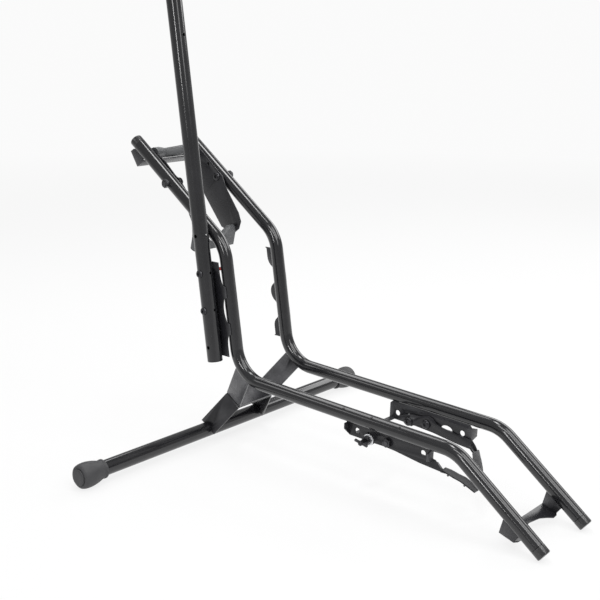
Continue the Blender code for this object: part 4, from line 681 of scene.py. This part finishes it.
def socket_bolt(name, node, body, outward, size):
    """Bolt along Y in the place of its node, with its head on the outward side."""
    head, height, shank, key = size
    low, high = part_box(node)
    middle = (low + high) / 2
    tip, top = (low.y, high.y) if outward > 0 else (high.y, low.y)
    seat = (middle.x, top - outward * height, middle.z)
    grip = abs(top - tip) - height
    flat = key * DOME_FLAT
    rings = [(-grip, shank / 2 - SHANK_CHAMFER), (SHANK_CHAMFER - grip, shank / 2),
             (0.0, shank / 2), (0.0, head / 2 - HEAD_INSET), (HEAD_EDGE, head / 2)]
    for step in range(1, DOME_STEPS + 1):
        angle = pi / 2 * step / DOME_STEPS
        rings.append((HEAD_EDGE + (height - HEAD_EDGE) * sin(angle),
                      flat + (head / 2 - flat) * cos(angle)))
    piece = turn_piece(name, seat, (0.0, outward, 0.0), rings, sides=36)
    close_shape()
    bpy.ops.object.select_all(action="DESELECT")
    bpy.ops.mesh.primitive_cylinder_add(
        vertices=6, radius=key / 2 / cos(pi / 6), depth=height, rotation=(pi / 2, 0.0, 0.0),
        location=(middle.x, top + outward * height * (0.5 - SOCKET_SHARE), middle.z))
    cut_away(piece, bpy.context.object)
    finish_piece(piece, blackened, "black_oxide", body, node)


for place in ("lower", "upper"):
    socket_bolt("pole_socket_bolt_" + place, "pole_bolt_" + place, "stand", -1.0, MIDDLE_BOLT)
for side, sign in SIDES.items():
    socket_bolt("rocker_pivot_bolt_" + side, "rocker_bolt_" + side, "stand", -sign, LARGE_BOLT)
    socket_bolt("cradle_axle_bolt_" + side, "cradle_pivot_bolt_" + side, "stand", -sign,
                LARGE_BOLT)
    for place in ("upper", "lower"):
        socket_bolt("pad_screw_" + place + "_" + side, "rocker_screw_" + place + "_" + side,
                    "upper_rocker", sign, SMALL_BOLT)
socket_bolt("lock_bolt_far", "cradle_lock_bolt_far", "lower_cradle", -1.0, LARGE_BOLT)


# Nuts
# Blackened hexagon nuts, cut from bar and chamfered on both faces. The sizes are across the
# flats and across the bore.
MIDDLE_NUT = (10.0 * MM, 6.4 * MM)
LARGE_NUT = (13.0 * MM, 8.4 * MM)
CHAMFER_SHARE = 0.97
CHAMFER_SLOPE = tan(radians(30.0))


def hexagon_nut(name, node, body, size):
    """Nut along Y in the place of its node."""
    width, bore = size
    low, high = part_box(node)
    middle = (low + high) / 2
    height = high.y - low.y
    corner = width / 2 / cos(pi / 6)
    bpy.ops.object.select_all(action="DESELECT")
    bpy.ops.mesh.primitive_cylinder_add(vertices=6, radius=corner, depth=height, location=middle,
                                        rotation=(pi / 2, 0.0, 0.0))
    piece = bpy.context.object
    start_shape(name, piece)
    bpy.ops.object.mode_set(mode="OBJECT")
    face = width / 2 * CHAMFER_SHARE
    rise = (corner - face) * CHAMFER_SLOPE
    cone = turn_piece("chamfer", (middle.x, low.y, middle.z), (0.0, 1.0, 0.0),
                      [(0.0, face), (rise, corner), (height - rise, corner), (height, face)],
                      sides=48)
    close_shape()
    cut_away(piece, cone, "INTERSECT")
    drill(piece, middle, (0.0, 1.0, 0.0), bore, height * 3)
    finish_piece(piece, blackened, "black_oxide", body, node)


for place in ("lower", "upper"):
    hexagon_nut("pole_hex_nut_" + place, "pole_nut_" + place, "stand", MIDDLE_NUT)
for side in SIDES:
    hexagon_nut("rocker_hex_nut_" + side, "rocker_nut_" + side, "stand", LARGE_NUT)
    hexagon_nut("cradle_hex_nut_" + side, "cradle_pivot_nut_" + side, "stand", LARGE_NUT)
    hexagon_nut("lock_hex_nut_" + side, "cradle_lock_nut_" + side, "lower_cradle", LARGE_NUT)


# Rocker
# A wide plate on the far side and a narrow arm on the near side, cut from sheet, carry two
# plastic pads and tilt on bolts through the rails. A plastic bush keeps each off its rail.
BUSH_RADIUS = 8.0 * MM
BUSH_EDGE = 0.3 * MM
BOLT_BORE = 8.5 * MM

for place, node in (("plate", "rocker_plate_far"), ("arm", "rocker_arm_near")):
    side_piece = copy_of_node("rocker_side_" + place, node)
    soften_rims(side_piece, SHEET_RIM, CUT_EDGE_TURN)
    finish_piece(side_piece, satin_paint, "satin_black_paint", "upper_rocker", node)


def ring_between(name, node, radius, edge):
    """Turned ring along Y in the place of its node, drilled for a large bolt."""
    low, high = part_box(node)
    middle = (low + high) / 2
    length = high.y - low.y
    ring = turn_piece(name, (middle.x, low.y, middle.z), (0.0, 1.0, 0.0),
                      [(0.0, radius - edge[1]), (edge[0], radius), (length - edge[0], radius),
                       (length, radius - edge[1])])
    close_shape()
    drill(ring, middle, (0.0, 1.0, 0.0), BOLT_BORE, SIDE_DRILL)
    return ring


for side in SIDES:
    bush = ring_between("rocker_bush_" + side, "rocker_spacer_" + side, BUSH_RADIUS,
                        (BUSH_EDGE, BUSH_EDGE))
    finish_piece(bush, cap_plastic, "black_plastic", "stand", "rocker_spacer_" + side)


# Pads
# Plastic mouldings with rounded rims that grip the tyre: grey and glass-filled on the rocker and
# at the cradle's rear, nearly black in the V at the cradle's front.
MOULDED_EDGE_TURN = 28.0
ROCKER_PAD_RIM = 2.2 * MM
FRONT_PAD_RIM = 0.9 * MM
REAR_PAD_RIM = 0.6 * MM

pad_plastic = coating("pad_grey_plastic", (0.058, 0.060, 0.063), (0.092, 0.095, 0.099),
                      gloss=(0.38, 0.55), cloud_size=18 * MM, grain_size=0.8 * MM,
                      grain_depth=0.08 * MM, edge_highlight=(0.32, 0.32, 0.33))
vee_plastic = coating("vee_pad_plastic", (0.020, 0.020, 0.022), (0.045, 0.045, 0.048),
                      gloss=(0.28, 0.42), cloud_size=15 * MM, grain_size=0.8 * MM,
                      grain_depth=0.06 * MM, edge_highlight=(0.30, 0.30, 0.31), edge_highlight_share=0.6)
for name, node, body, plastic, rim, segments in (
        ("tyre_pad_upper", "rocker_pad_upper", "upper_rocker", pad_plastic, ROCKER_PAD_RIM, 4),
        ("tyre_pad_lower", "rocker_pad_lower", "upper_rocker", pad_plastic, ROCKER_PAD_RIM, 4),
        ("tyre_vee_front", "cradle_pad_front", "lower_cradle", vee_plastic, FRONT_PAD_RIM, 3),
        ("tyre_rest_rear", "cradle_pad_rear", "lower_cradle", pad_plastic, REAR_PAD_RIM, 3)):
    pad = copy_of_node(name, node)
    soften_rims(pad, rim, MOULDED_EDGE_TURN, segments)
    finish_piece(pad, plastic, "grey_plastic", body, node, smooth=40.0)


# Cheeks
# Fixed plates welded under the low runs, with an outward flange at each end. An arc slot guides
# the cradle's lock bolts, and the far one has a half-moon window.
for side in SIDES:
    cheek = copy_of_node("cradle_cheek_plate_" + side, "cradle_cheek_" + side)
    soften_rims(cheek, SHEET_RIM, CUT_EDGE_TURN)
    finish_piece(cheek, satin_paint, "satin_black_paint", "stand", "cradle_cheek_" + side)


# Cradle
# Two cut side plates joined by a small flat web at the rear and a V-shaped web under the front
# pad.
WEB_EDGE_TURN = 40.0

for side in SIDES:
    cradle_side = copy_of_node("cradle_side_plate_" + side, "cradle_side_" + side)
    soften_rims(cradle_side, SHEET_RIM, CUT_EDGE_TURN)
    finish_piece(cradle_side, satin_paint, "satin_black_paint", "lower_cradle",
                 "cradle_side_" + side)
for place in ("front", "rear"):
    web = copy_of_node("cradle_sheet_" + place, "cradle_web_" + place)
    soften_rims(web, SHEET_RIM, WEB_EDGE_TURN)
    finish_piece(web, satin_paint, "satin_black_paint", "lower_cradle", "cradle_web_" + place)


# Lock
# Bright zinc washer, a blackened screw with a hexagon collar, and a sliding bar through its end
# to turn it by hand.
WASHER_RADIUS = 9.0 * MM
WASHER_EDGE = (0.15 * MM, 0.2 * MM)
LOCK_RIM = 0.25 * MM

zinc = coating("bright_zinc_plate", (0.82, 0.83, 0.86), (0.92, 0.93, 0.95), gloss=(0.30, 0.42),
               cloud_size=6 * MM, grain_size=0.6 * MM, grain_depth=0.02 * MM, metal=0.35)
washer = ring_between("zinc_washer", "lock_washer", WASHER_RADIUS, WASHER_EDGE)
finish_piece(washer, zinc, "bright_zinc", "lower_cradle", "lock_washer")

for place, node in (("screw", "lock_screw"), ("bar", "lock_bar")):
    lock_piece = copy_of_node("lock_hand_" + place, node)
    soften_rims(lock_piece, LOCK_RIM, WEB_EDGE_TURN)
    finish_piece(lock_piece, blackened, "black_oxide", "lock_handle", node)
